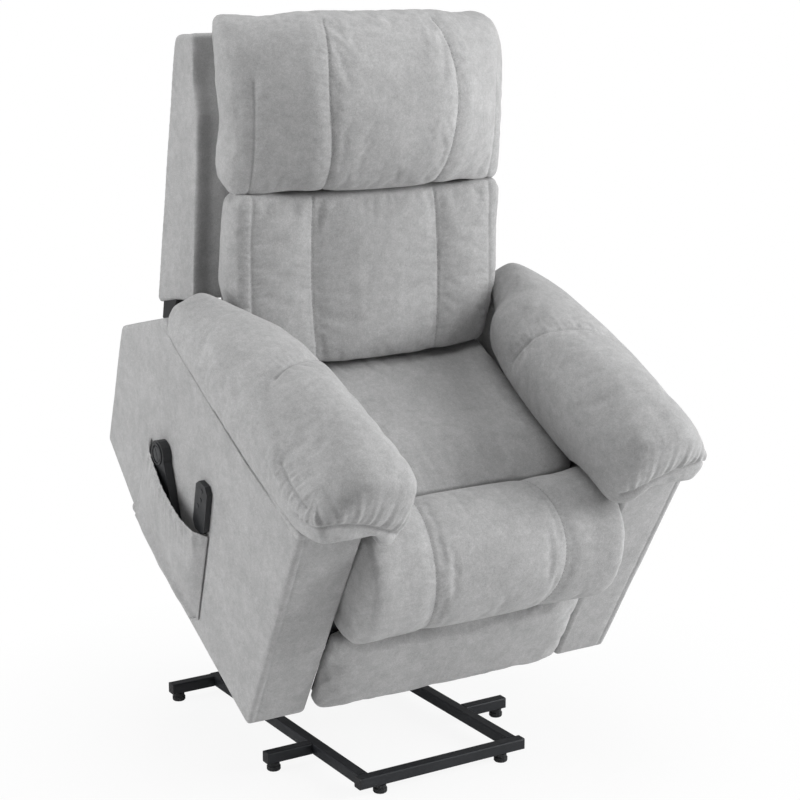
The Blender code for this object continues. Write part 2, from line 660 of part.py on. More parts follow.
def footrest_board(parent):
    """A pressed board with a flange and two pivots each side, and the padded cover in front."""
    back_of_pad = PANEL_FRONT + PAD_THICK + GAP
    low, high = PANEL_BOTTOM + 0.010, PANEL_TOP - 0.008
    y0, z0 = CARRIER_END
    board = box("footrest_board", (-PANEL_HALF + 0.012, back_of_pad - y0, low - z0),
                (PANEL_HALF - 0.012, back_of_pad + BOARD_THICK - y0, high - z0), STEEL, parent)
    added = []
    for side in (-1, 1):
        face = FOOT_LAYERS["flange"]
        outline = hull_of_circles([(relative(CONTROL_END, CARRIER_END), 0.011),
                                   ((0.0, 0.0), 0.011),
                                   ((back_of_pad + 0.004 - y0, high - 0.012 - z0), 0.003),
                                   ((back_of_pad + 0.004 - y0, 0.100 - z0), 0.003)], 3)
        added.append(outline_solid("flange", outline, "X", side * (face + PLATE / 2), PLATE,
                                   STEEL, parent))
        end = FOOT_LAYERS["carrier"] + FOOT_PLATE + PIN_GAP
        added.append(rod_x("stem", (0, 0), side * (face + 0.001), side * (end + 0.001),
                           FOOT_PIN, STEEL, parent))
        added.append(rod_x("head", (0, 0), side * end, side * (end + 0.002),
                           FOOT_PIN * 1.6, STEEL, parent))
        bolt = relative(CONTROL_END, CARRIER_END)
        added.append(rod_x("bolt", bolt, side * (face + 0.001), side * (face - 0.003),
                           FOOT_PIN * 1.6, STEEL, parent))
    combine(board, added)
    footrest_pad(parent, y0, z0)


def footrest_pad(parent, y0, z0):
    """The padded cover of the footrest: a flat face with soft edges all round."""
    back = PANEL_FRONT + PAD_THICK
    rings = []
    for up, inset, swell in ((PANEL_BOTTOM, 0.016, 0.012), (PANEL_BOTTOM + 0.010, 0.003, 0.001),
                             (0.100, 0.0, -0.004), (PANEL_TOP - 0.040, 0.0, -0.002),
                             (PANEL_TOP - 0.006, 0.002, 0.002), (PANEL_TOP, 0.012, 0.014)):
        half = PANEL_HALF - inset
        front = PANEL_FRONT + swell
        ring = [(-half + 0.004, back, up), (-half, front + 0.012, up),
                (-half + 0.012, front, up), (0, front - 0.002, up), (half - 0.012, front, up),
                (half, front + 0.012, up), (half - 0.004, back, up)]
        rings.append([(x, y - y0, z - z0) for x, y, z in ring])
    cage("footrest_pad", rings, FABRIC, parent, creased=(0, 6))


# ==== seat cushions ====================================================================================
def seat_cushion():
    """The flat rear part of the seat, slightly crowned, with drawn-in edges."""
    bottom = DECK_UP + DECK_THICK + GAP
    rings = []
    for back, drop, inset in ((SEAT_SEAM + GAP, 0.026, 0.008), (SEAT_SEAM + 0.010, 0.004, 0.002),
                              (0.240, -0.004, 0.0), (0.420, -0.004, 0.0),
                              (0.570, 0.004, 0.0), (0.603, 0.010, 0.006),
                              (0.612, 0.045, 0.014)):
        half = SEAT_HALF - inset
        top = SEAT_TOP - drop
        rings.append([(-half, back, bottom), (-half - 0.001, back, top - 0.035),
                      (-half + 0.008, back, top - 0.006), (-half + 0.045, back, top),
                      (0, back, top + 0.004), (half - 0.045, back, top),
                      (half - 0.008, back, top - 0.006), (half + 0.001, back, top - 0.035),
                      (half, back, bottom)])
    cage("seat_cushion", rings, FABRIC, CHAIR, creased=(0, 8))


BOLSTER_PROFILE = ((SEAT_SEAM, DECK_UP + DECK_THICK + GAP), (SEAT_SEAM, 0.430), (0.118, 0.466),
                   (0.060, 0.481), (0.000, 0.470), (-0.055, 0.432), (-0.083, 0.370),
                   (-0.080, 0.300), (-0.052, 0.232), (0.020, 0.228), (0.052, 0.262),
                   (0.062, DECK_UP + DECK_THICK + GAP))
BOLSTER_MIDDLE = Vector((0.040, 0.355))


def bolster_ring(x, shrink, bow=0.0):
    """A section of the bolster, shrunk towards its middle where it is free of the deck.

    The bow moves the front of the section outwards, for a sewn line that isn't straight.
    """
    ring = []
    for k, place in enumerate(BOLSTER_PROFILE):
        free = 2 <= k <= 8
        scaled = BOLSTER_MIDDLE + (Vector(place) - BOLSTER_MIDDLE) * (shrink if free else 1.0)
        shift = bow * math.sin(math.pi * (k - 2) / 6) if free else 0.0
        ring.append((x + shift, scaled.x, scaled.y))
    return ring


def seat_bolster():
    """The roll over the front of the seat, with two sewn lines that bow outwards."""
    seam, bow, lip, groove = 0.138, 0.025, 0.013, 0.945
    half = [bolster_ring(-SEAT_HALF, 0.84), bolster_ring(-SEAT_HALF + 0.008, 0.95),
            bolster_ring(-SEAT_HALF + 0.070, 0.995), bolster_ring(-seam - lip, 1.0, -bow),
            bolster_ring(-seam, groove, -bow), bolster_ring(-seam + lip, 1.0, -bow)]
    mirrored = [[(-x, back, up) for x, back, up in ring] for ring in reversed(half)]
    rings = half + [bolster_ring(0.0, 1.01)] + mirrored
    cage("seat_bolster", rings, FABRIC, CHAIR, creased=(0, len(BOLSTER_PROFILE) - 1))


# ==== side boxes and arm pads ============================================================================
def arm_box(side, label):
    """The upholstered side box: a prism whose outer face leans out towards the top."""
    outline = BOX_OUTLINE
    bm = bmesh.new()
    faces = []
    for outer in (False, True):
        ring = []
        for back, up in outline:
            lean = BOX_OUTER_BOTTOM_X + (BOX_OUTER_TOP_X - BOX_OUTER_BOTTOM_X) * up / BOX_TOP
            ring.append(bm.verts.new((side * (lean if outer else ARM_INNER_X), back, up)))
        faces.append(ring)
    inner, outer = faces
    count = len(outline)
    for i in range(count):
        j = (i + 1) % count
        bm.faces.new((inner[i], inner[j], outer[j], outer[i]))
    bm.faces.new(inner)
    bm.faces.new(outer)
    bmesh.ops.recalc_face_normals(bm, faces=bm.faces)
    bmesh.ops.bevel(bm, geom=bm.edges, offset=BOX_EDGE, segments=3, profile=0.5,
                    affect="EDGES")
    add("side_box_" + label, mesh_from(bm, "side_box_" + label), FABRIC, CHAIR)


PAD_MIDDLE = (0.372, BOX_TOP + 0.055)
PAD_BACK_X = ARM_INNER_X - 0.004        # the face that hangs down beside the box


def pad_ring(back, size, lean, rise, outer, inner, lip):
    """A section of an arm pad, from its outer lower edge over the crown to the inner lip.

    The crown is given above the side box's top, and the lip above the chair's lower corner.
    The size scales it about its middle, and its upper points lean forwards or back.
    """
    flat = BOX_TOP + GAP
    crown = BOX_TOP + rise
    middle = (outer + inner) / 2
    hanging = lip < flat
    ring = [(outer - 0.022, 0, flat), (outer + 0.006, 0.4, flat + 0.34 * (crown - flat)),
            (outer - 0.006, 0.8, crown - 0.036), (outer - 0.052, 1, crown - 0.002),
            (middle - 0.008, 1, crown + 0.003), (inner + 0.026, 0.9, crown - 0.016),
            (inner - 0.006, 0.6, flat + 0.40 * (crown - flat))]
    if hanging:
        ring += [(inner - 0.002, 0.2, lip + 0.036), (inner + 0.018, 0, lip - 0.003),
                 (PAD_BACK_X, 0, lip + 0.012), (PAD_BACK_X, 0, flat - 0.006),
                 (PAD_BACK_X + 0.0065, 0, flat)]
    else:
        ring += [(inner, 0.2, flat + 0.020), (inner + 0.003, 0, flat + 0.010),
                 (inner + 0.006, 0, flat + 0.004), (inner + 0.008, 0, flat + 0.001),
                 (inner + 0.0145, 0, flat)]
    scaled = []
    for x, share, up in ring:
        x = PAD_MIDDLE[0] + (x - PAD_MIDDLE[0]) * size
        up = PAD_MIDDLE[1] + (up - PAD_MIDDLE[1]) * size
        scaled.append((x, back + lean * share, up))
    return scaled


def arm_pad(side, label):
    """The stuffed pad on a side box: it bulges over the front and hangs inside to the seat."""
    stations = ((-0.047, 0.62, 0.0, 0.138, 0.462, 0.276, 0.500),
                (-0.044, 0.86, 0.0, 0.146, 0.470, 0.270, 0.492),
                (-0.006, 1.0, -0.016, 0.156, 0.474, 0.264, 0.490),
                (0.075, 1.0, -0.006, 0.160, 0.474, 0.263, 0.488),
                (0.200, 1.0, 0.0, 0.153, 0.474, 0.264, 0.464),
                (0.350, 1.0, 0.0, 0.131, 0.473, 0.267, 0.460),
                (0.490, 1.0, 0.0, 0.107, 0.471, 0.277, 0.480),
                (0.560, 1.0, 0.0, 0.089, 0.468, 0.3005, 0.540),
                (0.625, 1.0, 0.0, 0.070, 0.464, 0.3220, 0.540),
                (0.668, 0.90, 0.0, 0.058, 0.452, 0.3350, 0.540))
    rings = [[(side * x, back, up) for x, back, up in pad_ring(*station)]
             for station in stations]
    cage("arm_pad_" + label, rings, FABRIC, CHAIR, creased=(0, 11))


# ==== back ===============================================================================================
SHELL_FRONT = ((0.787, 0.459), (0.862, 0.640), (0.938, 0.815), (1.055, 0.948))
SHELL_REAR = ((1.115, 0.905), (0.940, 0.329))
CORE_HALF = 0.284
CORE_BOTTOM = 0.345
SHELL_HALF = ARM_INNER_X - BACK_SIDE_CLEAR
# A station of a back cushion, from the bottom up: the side seam, the front at the middle, the
# rear, what the half width loses, and where the two sewn lines lie.
LUMBAR_STATIONS = (
    ((0.548, 0.462), (0.532, 0.462), (0.640, 0.462), 0.020, 0.130),
    ((0.542, 0.476), (0.507, 0.470), (0.656, 0.476), 0.010, 0.134),
    ((0.570, 0.530), (0.540, 0.524), (0.700, 0.530), 0.005, 0.143),
    ((0.612, 0.610), (0.588, 0.602), (0.728, 0.600), 0.004, 0.150),
    ((0.662, 0.697), (0.640, 0.692), (0.756, 0.680), 0.004, 0.150),
    ((0.700, 0.757), (0.676, 0.758), (0.772, 0.728), 0.004, 0.142),
    ((0.716, 0.778), (0.696, 0.784), (0.776, 0.747), 0.008, 0.132))
HEADREST_STATIONS = (
    ((0.720, 0.785), (0.690, 0.785), (0.781, 0.756), 0.004, 0.126),
    ((0.726, 0.798), (0.670, 0.800), (0.794, 0.780), -0.004, 0.134),
    ((0.741, 0.840), (0.650, 0.866), (0.836, 0.842), -0.010, 0.146),
    ((0.772, 0.900), (0.662, 0.938), (0.880, 0.908), -0.015, 0.153),
    ((0.812, 0.958), (0.700, 1.020), (0.924, 0.972), -0.019, 0.155),
    ((0.855, 1.006), (0.762, 1.096), (0.952, 1.010), -0.021, 0.152),
    ((0.905, 1.036), (0.862, 1.134), (0.966, 1.028), -0.016, 0.144),
    ((0.945, 1.044), (0.936, 1.096), (0.974, 1.038), 0.004, 0.136))
CUSHION_HALF = SHELL_HALF - 0.0005


def smoothed(points):
    """The line that a subdivided cage makes of these points, without its two ends."""
    points = [Vector(point) for point in points]
    line = []
    for i, point in enumerate(points[:-1]):
        if i:
            line.append((points[i - 1] + 6 * point + points[i + 1]) / 8)
        line.append((point + points[i + 1]) / 2)
    return line


def moved_back(line, distance):
    """A line drawn a distance behind another, square to it."""
    moved = []
    for i, point in enumerate(line):
        before, after = line[max(i - 1, 0)], line[min(i + 1, len(line) - 1)]
        along = (after - before).normalized()
        moved.append((point.x + along.y * distance, point.y - along.x * distance))
    return moved


def back_pieces():
    back = frame("back", CHAIR, (0, *BACK_PIVOT))

    def local(points):
        return [relative(point, BACK_PIVOT) for point in points]

    shell = outline_solid("back_shell", local(SHELL_FRONT + SHELL_REAR), "X", 0, 2 * SHELL_HALF,
                          FABRIC, back)
    shell = as_mesh(shell)
    shell.data.shade_smooth()
    shell.data.set_sharp_from_angle(angle=math.radians(35))
    bevel = shell.modifiers.new("soft_edges", "BEVEL")
    bevel.width = 0.010
    bevel.segments = 3
    bevel.limit_method = "ANGLE"
    bevel.angle_limit = math.radians(30)

    front = []
    for stations in (LUMBAR_STATIONS, HEADREST_STATIONS):
        front += moved_back(smoothed([station[2] for station in stations]), GAP)
    shell_line = moved_back([Vector(point) for point in SHELL_FRONT], -GAP)
    top = shell_line[-1]
    outline = front + [(top[0] - 0.030, top[1] + 0.040), top] + shell_line[-2::-1]
    outline += [(0.770, 0.395), (0.735, CORE_BOTTOM), (0.665, CORE_BOTTOM)]
    outline_solid("back_core", local(outline), "X", 0, 2 * CORE_HALF, DARK_CLOTH, back)
    for side, label in SIDES:
        edge = CORE_BOTTOM - GAP - 0.003
        outline = hull_of_circles([(BACK_PIVOT, 0.016), ((0.727, edge), 0.003),
                                   ((0.670, edge), 0.003)], 4)
        outline_solid("back_hinge_" + label, local(outline), "X",
                      side * (SIDE_PLATE_X + LINK_PLATE + PIN_GAP + PLATE / 2), PLATE, STEEL,
                      back, holes=(hole((0, 0), LIFT_PIN),))
    back_cushion("headrest", HEADREST_STATIONS, back)
    back_cushion("lumbar_cushion", LUMBAR_STATIONS, back)


def back_cushion(name, stations, parent, groove=0.011, lip=0.013):
    """A stuffed back cushion: it swells between its side seams, and two sewn lines dent it."""
    rings = []
    for seam, front, rear, inset, line_x in stations:
        seam, front, rear = (Vector(relative(place, BACK_PIVOT)) for place in
                             (seam, front, rear))
        swell = front - seam
        width = CUSHION_HALF - inset
        middle = (seam + rear) / 2
        columns = (-width, -width * 0.90, -line_x - lip, -line_x, -line_x + lip)
        columns += tuple(-x for x in reversed(columns))
        ring = [(-width + 0.010, *rear), (-width - 0.002, *middle)]
        for index, x in enumerate(columns):
            place = seam + swell * (1 - abs(x / width) ** 2.6)
            if index in (3, 6):
                place -= swell.normalized() * groove
            ring.append((x, *place))
        ring += [(width + 0.002, *middle), (width - 0.010, *rear)]
        rings.append(ring)
    cage(name, rings, FABRIC, parent, creased=(0, len(rings[0]) - 1))


# ==== pocket and handsets ===================================================================================
def box_outer_x(up):
    return BOX_OUTER_BOTTOM_X + (BOX_OUTER_TOP_X - BOX_OUTER_BOTTOM_X) * up / BOX_TOP


def pocket():
    """A cloth sheet sewn to the right-hand side box on three sides, open at its top edge."""
    columns, rows = 15, 7
    bm = bmesh.new()
    grid = []
    for layer in (0, 1):
        rows_made = []
        for j in range(rows):
            t = j / (rows - 1)
            row = []
            for i in range(columns):
                s = i / (columns - 1)
                front = POCKET_FRONT + POCKET_FRONT_LEAN * t
                back = front + (POCKET_REAR - front) * s
                sag = 0.010 * math.sin(math.pi * s) * t
                up = POCKET_BOTTOM + 0.020 * s * (1 - t) + (POCKET_TOP - POCKET_BOTTOM) * t - sag
                belly = math.sin(math.pi * s) ** 0.30 * math.sin(math.pi * 0.5 * t) ** 0.45
                belly *= 1 - 0.5 * s
                clear = GAP + POCKET_DEPTH * belly
                x = box_outer_x(up) + clear + (POCKET_SHEET if layer else 0.0)
                row.append(bm.verts.new((-x, back, up)))
            rows_made.append(row)
        grid.append(rows_made)
    inner, outer = grid
    for j in range(rows - 1):
        for i in range(columns - 1):
            bm.faces.new((inner[j][i], inner[j][i + 1], inner[j + 1][i + 1], inner[j + 1][i]))
            bm.faces.new((outer[j][i], outer[j + 1][i], outer[j + 1][i + 1], outer[j][i + 1]))
    rim = [(0, i) for i in range(columns)] + [(j, columns - 1) for j in range(1, rows)]
    rim += [(rows - 1, i) for i in range(columns - 2, -1, -1)]
    rim += [(j, 0) for j in range(rows - 2, 0, -1)]
    for (a, b), (c, d) in zip(rim, rim[1:] + rim[:1]):
        bm.faces.new((inner[a][b], outer[a][b], outer[c][d], inner[c][d]))
    add("pocket", mesh_from(bm, "pocket", math.radians(60)), FABRIC, CHAIR)


def against_panel(name, place, turn, thick):
    """The origin of a flat thing that lies against the leaning outer face of the side box."""
    lean = math.atan2(BOX_OUTER_TOP_X - BOX_OUTER_BOTTOM_X, BOX_TOP)
    x = box_outer_x(place[1]) + (thick / 2 + GAP) / math.cos(lean)
    made = frame(name, CHAIR, (-x, *place), turn)
    made.rotation_euler.y = -lean
    return made


def handset():
    """The lift handset: an oval head with a raised ring and two buttons on a curved handle."""
    thick = 0.019
    lift = against_panel("lift_handset_slide", HANDSET_AT, HANDSET_TURN, thick)
    head, ring_at = (0.0, 0.0), (0.002, 0.0)
    body = outline_solid("lift_handset", circle(head, 0.031, 20), "X", 0, thick, PLASTIC, lift)
    neck = outline_solid("neck", hull_of_circles([((-0.010, 0.0), 0.024),
                                                  ((-0.075, -0.004), 0.0155)], 4), "X", 0.0,
                         thick - 0.001, PLASTIC, lift)
    handle = outline_solid("handle", hull_of_circles([((-0.072, -0.004), 0.0155),
                                                      ((-0.165, -0.020), 0.0135)], 4), "X",
                           0.0, thick - 0.002, PLASTIC, lift)
    ring = outline_solid("ring", circle(ring_at, 0.0235, 20), "X", -thick / 2 - 0.0005,
                         0.003, PLASTIC, lift, holes=(circle(ring_at, 0.0195, 20),))
    body = combine(body, [neck, handle, ring])
    wells = []
    for name, upper in (("raise_button", True), ("lower_button", False)):
        button = [shifted(place, ring_at) for place in half_disc(0.0165, 0.0010, upper)]
        well = [shifted(place, ring_at) for place in half_disc(0.0170, 0.0005, upper)]
        press_button(name, button, thick, lift)
        wells.append(button_well(well, thick, lift))
    combine(body, wells, "DIFFERENCE")


def shifted(place, offset):
    return (place[0] + offset[0], place[1] + offset[1])


def half_disc(radius, inset, upper):
    """Half of a round pair of buttons, its flat side an inset away from the parting line."""
    sign = 1 if upper else -1
    start = math.asin(inset / radius)
    points = []
    for k in range(9):
        angle = start + (math.pi - 2 * start) * k / 8
        points.append((radius * math.cos(angle), sign * radius * math.sin(angle)))
    return points if upper else points[::-1]


def press_button(name, outline, thick, parent):
    """A button standing BUTTON_PROUD out of the face of its handset, and sunk into a well."""
    middle = -thick / 2 - (BUTTON_PROUD - BUTTON_SUNK) / 2
    outline_solid(name, outline, "X", middle, BUTTON_PROUD + BUTTON_SUNK, BUTTON, parent)


def button_well(outline, thick, parent):
    depth = BUTTON_SUNK + BUTTON_TRAVEL + GAP
    return outline_solid("well", outline, "X", -thick / 2, 2 * depth, None, parent)


def massage_remote():
    """The slim massage remote: a slab with cut corners and three small keys."""
    thick = 0.012
    remote = against_panel("massage_remote_slide", REMOTE_AT, REMOTE_TURN, thick)
    half, top, bottom, cut = 0.026, 0.045, -0.064, 0.012
    outline = [(-half, bottom + cut), (-half + cut, bottom), (half - cut, bottom),
               (half, bottom + cut), (half, top - cut), (half - cut, top), (-half + cut, top),
               (-half, top - cut)]
    body = outline_solid("massage_remote", outline, "X", 0, thick, PLASTIC, remote)
    wells = []
    for index, (y, z, size) in enumerate(((0.0, 0.028, 0.0055), (0.0, 0.008, 0.0045),
                                          (0.011, -0.010, 0.0045)), 1):
        press_button("remote_key_%d" % index, circle((y, z), size), thick, remote)
        wells.append(button_well(circle((y, z), size + PIN_GAP), thick, remote))
    combine(body, wells, "DIFFERENCE")


# ==== the whole chair =============================================================================================
clear_scene()
PARTS = collection("lift_recliner_chair")
STEEL = material("black_steel", (0.028, 0.030, 0.034), 0.45, 0.35)
CHROME = material("bright_steel", (0.55, 0.55, 0.56), 0.25, 1.0)
SPRING = material("spring_wire", (0.20, 0.20, 0.21), 0.4, 0.9)
PLASTIC = material("black_plastic", (0.020, 0.020, 0.022), 0.5)
BUTTON = material("button_rubber", (0.050, 0.052, 0.056), 0.6)
FABRIC = material("grey_fabric", (0.40, 0.40, 0.40), 0.92)
DARK_CLOTH = material("lining_cloth", (0.23, 0.23, 0.23), 0.95)
WOOD = material("plywood", (0.50, 0.36, 0.20), 0.7)
SIDES = ((-1, "right"), (1, "left"))     # as the sitter sees them

CHAIR = frame("chair", None, (0, FRONT_FACE_Y + CHAIR_Y, CHAIR_Z), TILT)
base_tubes()
for SIDE, LABEL in SIDES:
    lift_bracket(SIDE, LABEL)
    side_plate(SIDE, LABEL)
    arm_box(SIDE, LABEL)
    arm_pad(SIDE, LABEL)
lift_links()
actuator()
cross_tubes()
seat_deck()
footrest_links()
seat_cushion()
seat_bolster()
back_pieces()
pocket()
handset()
massage_remote()
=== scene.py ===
"""Lift recliner chair, raised and tipped forward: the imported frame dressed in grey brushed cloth.

Soft pieces are worked in the chair's own frame, in metres: x sideways, y back from the lower front
corner of the side boxes, z up. That frame is tipped forward by TILT on the lift base.
"""
import json
import math

import bmesh
import bpy
import numpy as np
from mathutils import Matrix, Vector, noise
from mathutils.bvhtree import BVHTree
from mathutils.kdtree import KDTree

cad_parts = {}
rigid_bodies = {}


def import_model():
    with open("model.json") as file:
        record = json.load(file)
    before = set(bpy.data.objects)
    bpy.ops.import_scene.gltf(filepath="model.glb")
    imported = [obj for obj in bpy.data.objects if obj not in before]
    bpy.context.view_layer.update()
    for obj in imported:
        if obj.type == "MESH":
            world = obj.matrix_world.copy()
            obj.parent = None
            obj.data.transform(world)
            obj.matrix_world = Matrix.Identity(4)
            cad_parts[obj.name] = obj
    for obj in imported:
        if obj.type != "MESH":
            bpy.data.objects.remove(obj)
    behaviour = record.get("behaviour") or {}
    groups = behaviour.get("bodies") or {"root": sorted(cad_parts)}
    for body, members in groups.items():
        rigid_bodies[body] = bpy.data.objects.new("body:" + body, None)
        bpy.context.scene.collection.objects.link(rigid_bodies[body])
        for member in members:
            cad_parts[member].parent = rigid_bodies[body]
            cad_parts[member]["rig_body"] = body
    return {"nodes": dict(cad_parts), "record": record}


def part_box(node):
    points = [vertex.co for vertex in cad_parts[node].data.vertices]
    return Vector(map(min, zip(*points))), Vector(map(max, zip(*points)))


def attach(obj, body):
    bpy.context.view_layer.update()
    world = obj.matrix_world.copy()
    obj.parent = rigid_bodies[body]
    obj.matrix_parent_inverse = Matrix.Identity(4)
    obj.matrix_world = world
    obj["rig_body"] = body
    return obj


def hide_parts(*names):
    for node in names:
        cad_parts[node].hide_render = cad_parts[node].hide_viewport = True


TILT = math.radians(28.8)
CHAIR = Matrix.Translation((0, -0.1575, 0.196)) @ Matrix.Rotation(TILT, 4, "X")

# Cloth and padding
VOXEL = 0.0055             # size of the first mesh of a cushion
REGAINS = 2                # times that a smoothed cushion is brought back out to its solid
CLOTH_FRAMES = 18
CLOTH_GROWTH = 0.010       # share by which the cover is cut larger than the foam
CLOTH_QUALITY = 4
CLOTH_MASS = 0.25
STRETCH_STIFFNESS = 12
SHEAR_STIFFNESS = 6
BENDING_STIFFNESS = 1.2
PIN_STIFFNESS = 2.0
PIN_REACH = 0.008          # from a seam, where its hold on the cover has nearly faded out
AIR = 3.0                  # pressure of the filling
NEIGHBOUR_GAP = 0.0008     # kept between the covers of different cushions
DEEP = 0.004               # points further inside their solid than this are left where they are
TIE = -0.2                 # cosine past which a point counts as behind the nearest face
FOAM_DIPS = (0.11, 0.0014)     # size and depth of the unevenness in thin foam

# Seams
SEAM_STEP = 0.0015         # spacing of the points along a seam
RAY_START = 0.6            # from a drawn line back to where its rays start
RAY_REACH = 0.5            # and from a cushion's middle, for a seam wrapped round it
WRAP_POINTS = 1.6          # per degree round a cushion
PUCKER_START = 0.006       # from the seam, where its puckers have risen
PUCKER_END = 0.02          # from the seam's ends, where they begin to fade
STITCH = 0.0052            # length of a stitch
STITCH_GAP = 0.0026
STITCH_RINGS = 4
THREAD = 0.00045           # radius of the thread
THREAD_SIDES = 6

# Pocket: its lower and upper corners (back, up), front then rear
POCKET_SEAMS = (((0.2585, 0.0455), (0.6015, 0.0455)), ((0.2925, 0.2515), (0.6015, 0.2515)))
POCKET_GRID = (96, 150)    # rows and columns
POCKET_SAG = 0.010
POCKET_GATHER = 0.030      # how far down the folds of the elastic edge run
POCKET_ELASTIC = 0.016     # over which the folds rise from the edge that the elastic holds flat
POCKET_FOLD = 0.0048       # depth of the folds
POCKET_PITCH = 0.024       # length of their main wave
POCKET_WIDTH = 0.33        # over which the folds are counted
POCKET_HEM = (0.012, 0.0022, 0.0010)     # the hem's line: how far down, its width and its depth
POCKET_SLACK = (0.045, 0.0022)     # size and depth of the loose billows
POCKET_CLOTH = 0.0016
POCKET_EASING = 60         # rounds that take the facets out of the pocket
POCKET_CLEAR = 0.0045      # between the cloth's outer face and what it holds
POCKET_STEP = 0.002        # most that the cloth steps in at its rear seam
OUTSIDE = -0.7             # sideways place, well outside the pocket, where its rays start
POCKET_AIM = -0.6          # and from where the nearest point is sought where they miss

# Tabs under the outer back: their sides, and their outline (back, up)
TAB_SIDES = (0.278, 0.302)
TAB_OUTLINE = ((0.934, 0.346), (0.880, 0.392), (0.874, 0.335), (0.884, 0.318), (0.922, 0.306))
TAB_ROUND = 0.0015

# Moulded caps in the base tubes: side, thickness and chamfer of the plate, length of the plug,
# wall of the tube, and how round the corners are
CAP_SIDE = 0.0246
CAP_FACE = 0.0022
CAP_CHAMFER = (0.0007, 0.0009)
CAP_PLUG = 0.0100
CAP_WALL = 0.0026
CAP_ROUND = 0.0022
CAP_CORNER = 4             # points round a corner

# Studio
LAMPS = (("left_box", (-3.4, 0.9, 1.7), (0, 0, 0.8), (2.2, 2.6), 66),
         ("right_box", (3.2, -2.2, 2.0), (0, 0, 0.8), (2.0, 2.4), 148),
         ("top_box", (-0.3, -0.3, 4.2), (0, 0, 0.6), (2.6, 2.6), 54))
WHITE = (1, 1, 1, 1)
ROOM_FILL = 0.21           # light from the room's walls; the camera sees them plain white
FLOOR_HALF = 8
FLOOR_PAINT = 0.90
FLOOR_WHITE = 0.90         # share of the floor near the chair that is plain white to the camera
FLOOR_FADE = (0.5, 1.2)    # metres over which the rest fades to white

# Camera of the photograph
CAMERA_PLACE = (-2.0715, -3.3753, 1.6776)
CAMERA_TURN = (math.radians(90 - 12.755), 0, math.radians(-31.672))
CAMERA_LENS = 86.57
CAMERA_SENSOR = 36

SIDES = ((-1, "right"), (1, "left"))     # as the sitter sees them
SOFT_NODES = ("headrest", "lumbar_cushion", "seat_cushion", "seat_bolster", "footrest_pad",
              "arm_pad_right", "arm_pad_left")

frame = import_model()
CAD_NODES = dict(frame["nodes"])
CAD_BODY = {node: obj["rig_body"] for node, obj in CAD_NODES.items()}
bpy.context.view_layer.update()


# ---------------------------------------------------------------- materials

def node_tree(name):
    """A new material with its Principled shader, and helpers that add and join nodes."""
    made = bpy.data.materials.new(name)
    made.use_nodes = True
    tree = made.node_tree
    shader = tree.nodes["Principled BSDF"]

    def add(kind, **values):
        node = tree.nodes.new(kind)
        for key, value in values.items():
            if key in node.inputs:
                node.inputs[key].default_value = value
            else:
                setattr(node, key, value)
        return node

    return made, shader, add, tree.links.new


def noise_at(add, link, place, scale, detail=4.0, roughness=0.6, stretch=None):
    """Noise at a scale in cells per metre, on the object's own coordinates."""
    source = place
    if stretch:
        mapping = add("ShaderNodeMapping", Scale=stretch)
        link(place, mapping.inputs["Vector"])
        source = mapping.outputs["Vector"]
    made = add("ShaderNodeTexNoise", Scale=scale, Detail=detail, Roughness=roughness)
    link(source, made.inputs["Vector"])
    return made.outputs["Fac"]


def spread(add, link, value, low, high, start=0.3, end=0.7):
    """value, from start to end, mapped to low to high."""
    made = add("ShaderNodeMapRange")
    for key, number in zip(("From Min", "From Max", "To Min", "To Max"), (start, end, low, high)):
        made.inputs[key].default_value = number
    link(value, made.inputs["Value"])
    return made.outputs["Result"]


def times(add, link, a, b):
    made = add("ShaderNodeMath", operation="MULTIPLY")
    link(a, made.inputs[0])
    link(b, made.inputs[1])
    return made.outputs["Value"]


def toned(add, link, colour, tone):
    """A colour, fixed or from a socket, times a tone."""
    made = add("ShaderNodeMix", data_type="RGBA", blend_type="MULTIPLY")
    made.inputs["Factor"].default_value = 1.0
    if isinstance(colour, tuple):
        made.inputs[6].default_value = (*colour, 1)
    else:
        link(colour, made.inputs[6])
    link(tone, made.inputs[7])
    return made.outputs[2]


def suede(name, grey, depth=1.0):
    """Brushed cloth: cloudy patches where the nap lies over, short fibres, and a soft sheen."""
    made, shader, add, link = node_tree(name)
    place = add("ShaderNodeTexCoord").outputs["Object"]

    def nap_tone(change, *pattern):
        return spread(add, link, noise_at(add, link, place, *pattern), 1 - change, 1 + change, 0.36, 0.64)

    clouds = nap_tone(0.05, 9, 3.0)
    patches = nap_tone(0.075, 45, 5.0, 0.7)
    brushed = nap_tone(0.04, 150, 3.0, 0.6, (1, 0.7, 1))
    fibres = nap_tone(0.14, 430, 4.0, 0.8)
    # Pointiness makes convex edges lighter, as rubbed wear, and seams, hollows and creases darker: painted
    # shade.
    wear_and_crease_shade = add("ShaderNodeNewGeometry").outputs["Pointiness"]
    edges = spread(add, link, wear_and_crease_shade, 0.93, 1.07, 0.46, 0.54)
    tone = times(add, link, times(add, link, clouds, patches), times(add, link, brushed, fibres))
    tone = times(add, link, tone, edges)
    link(toned(add, link, (grey, grey, grey * 1.004), tone), shader.inputs["Base Color"])
    rough = spread(add, link, noise_at(add, link, place, 60, 3.0), 0.86, 0.98)
    link(rough, shader.inputs["Roughness"])
    shader.inputs["Specular IOR Level"].default_value = 0.15
    shader.inputs["Sheen Weight"].default_value = 0.18
    shader.inputs["Sheen Roughness"].default_value = 0.45
    nap = add("ShaderNodeBump", Strength=0.35 * depth, Distance=0.0010)
    link(noise_at(add, link, place, 620, 3.0, 0.7), nap.inputs["Height"])
    lie = add("ShaderNodeBump", Strength=0.30 * depth, Distance=0.0030)
    link(noise_at(add, link, place, 75, 4.0, 0.6), lie.inputs["Height"])
    link(lie.outputs["Normal"], nap.inputs["Normal"])
    link(nap.outputs["Normal"], shader.inputs["Normal"])
    return made


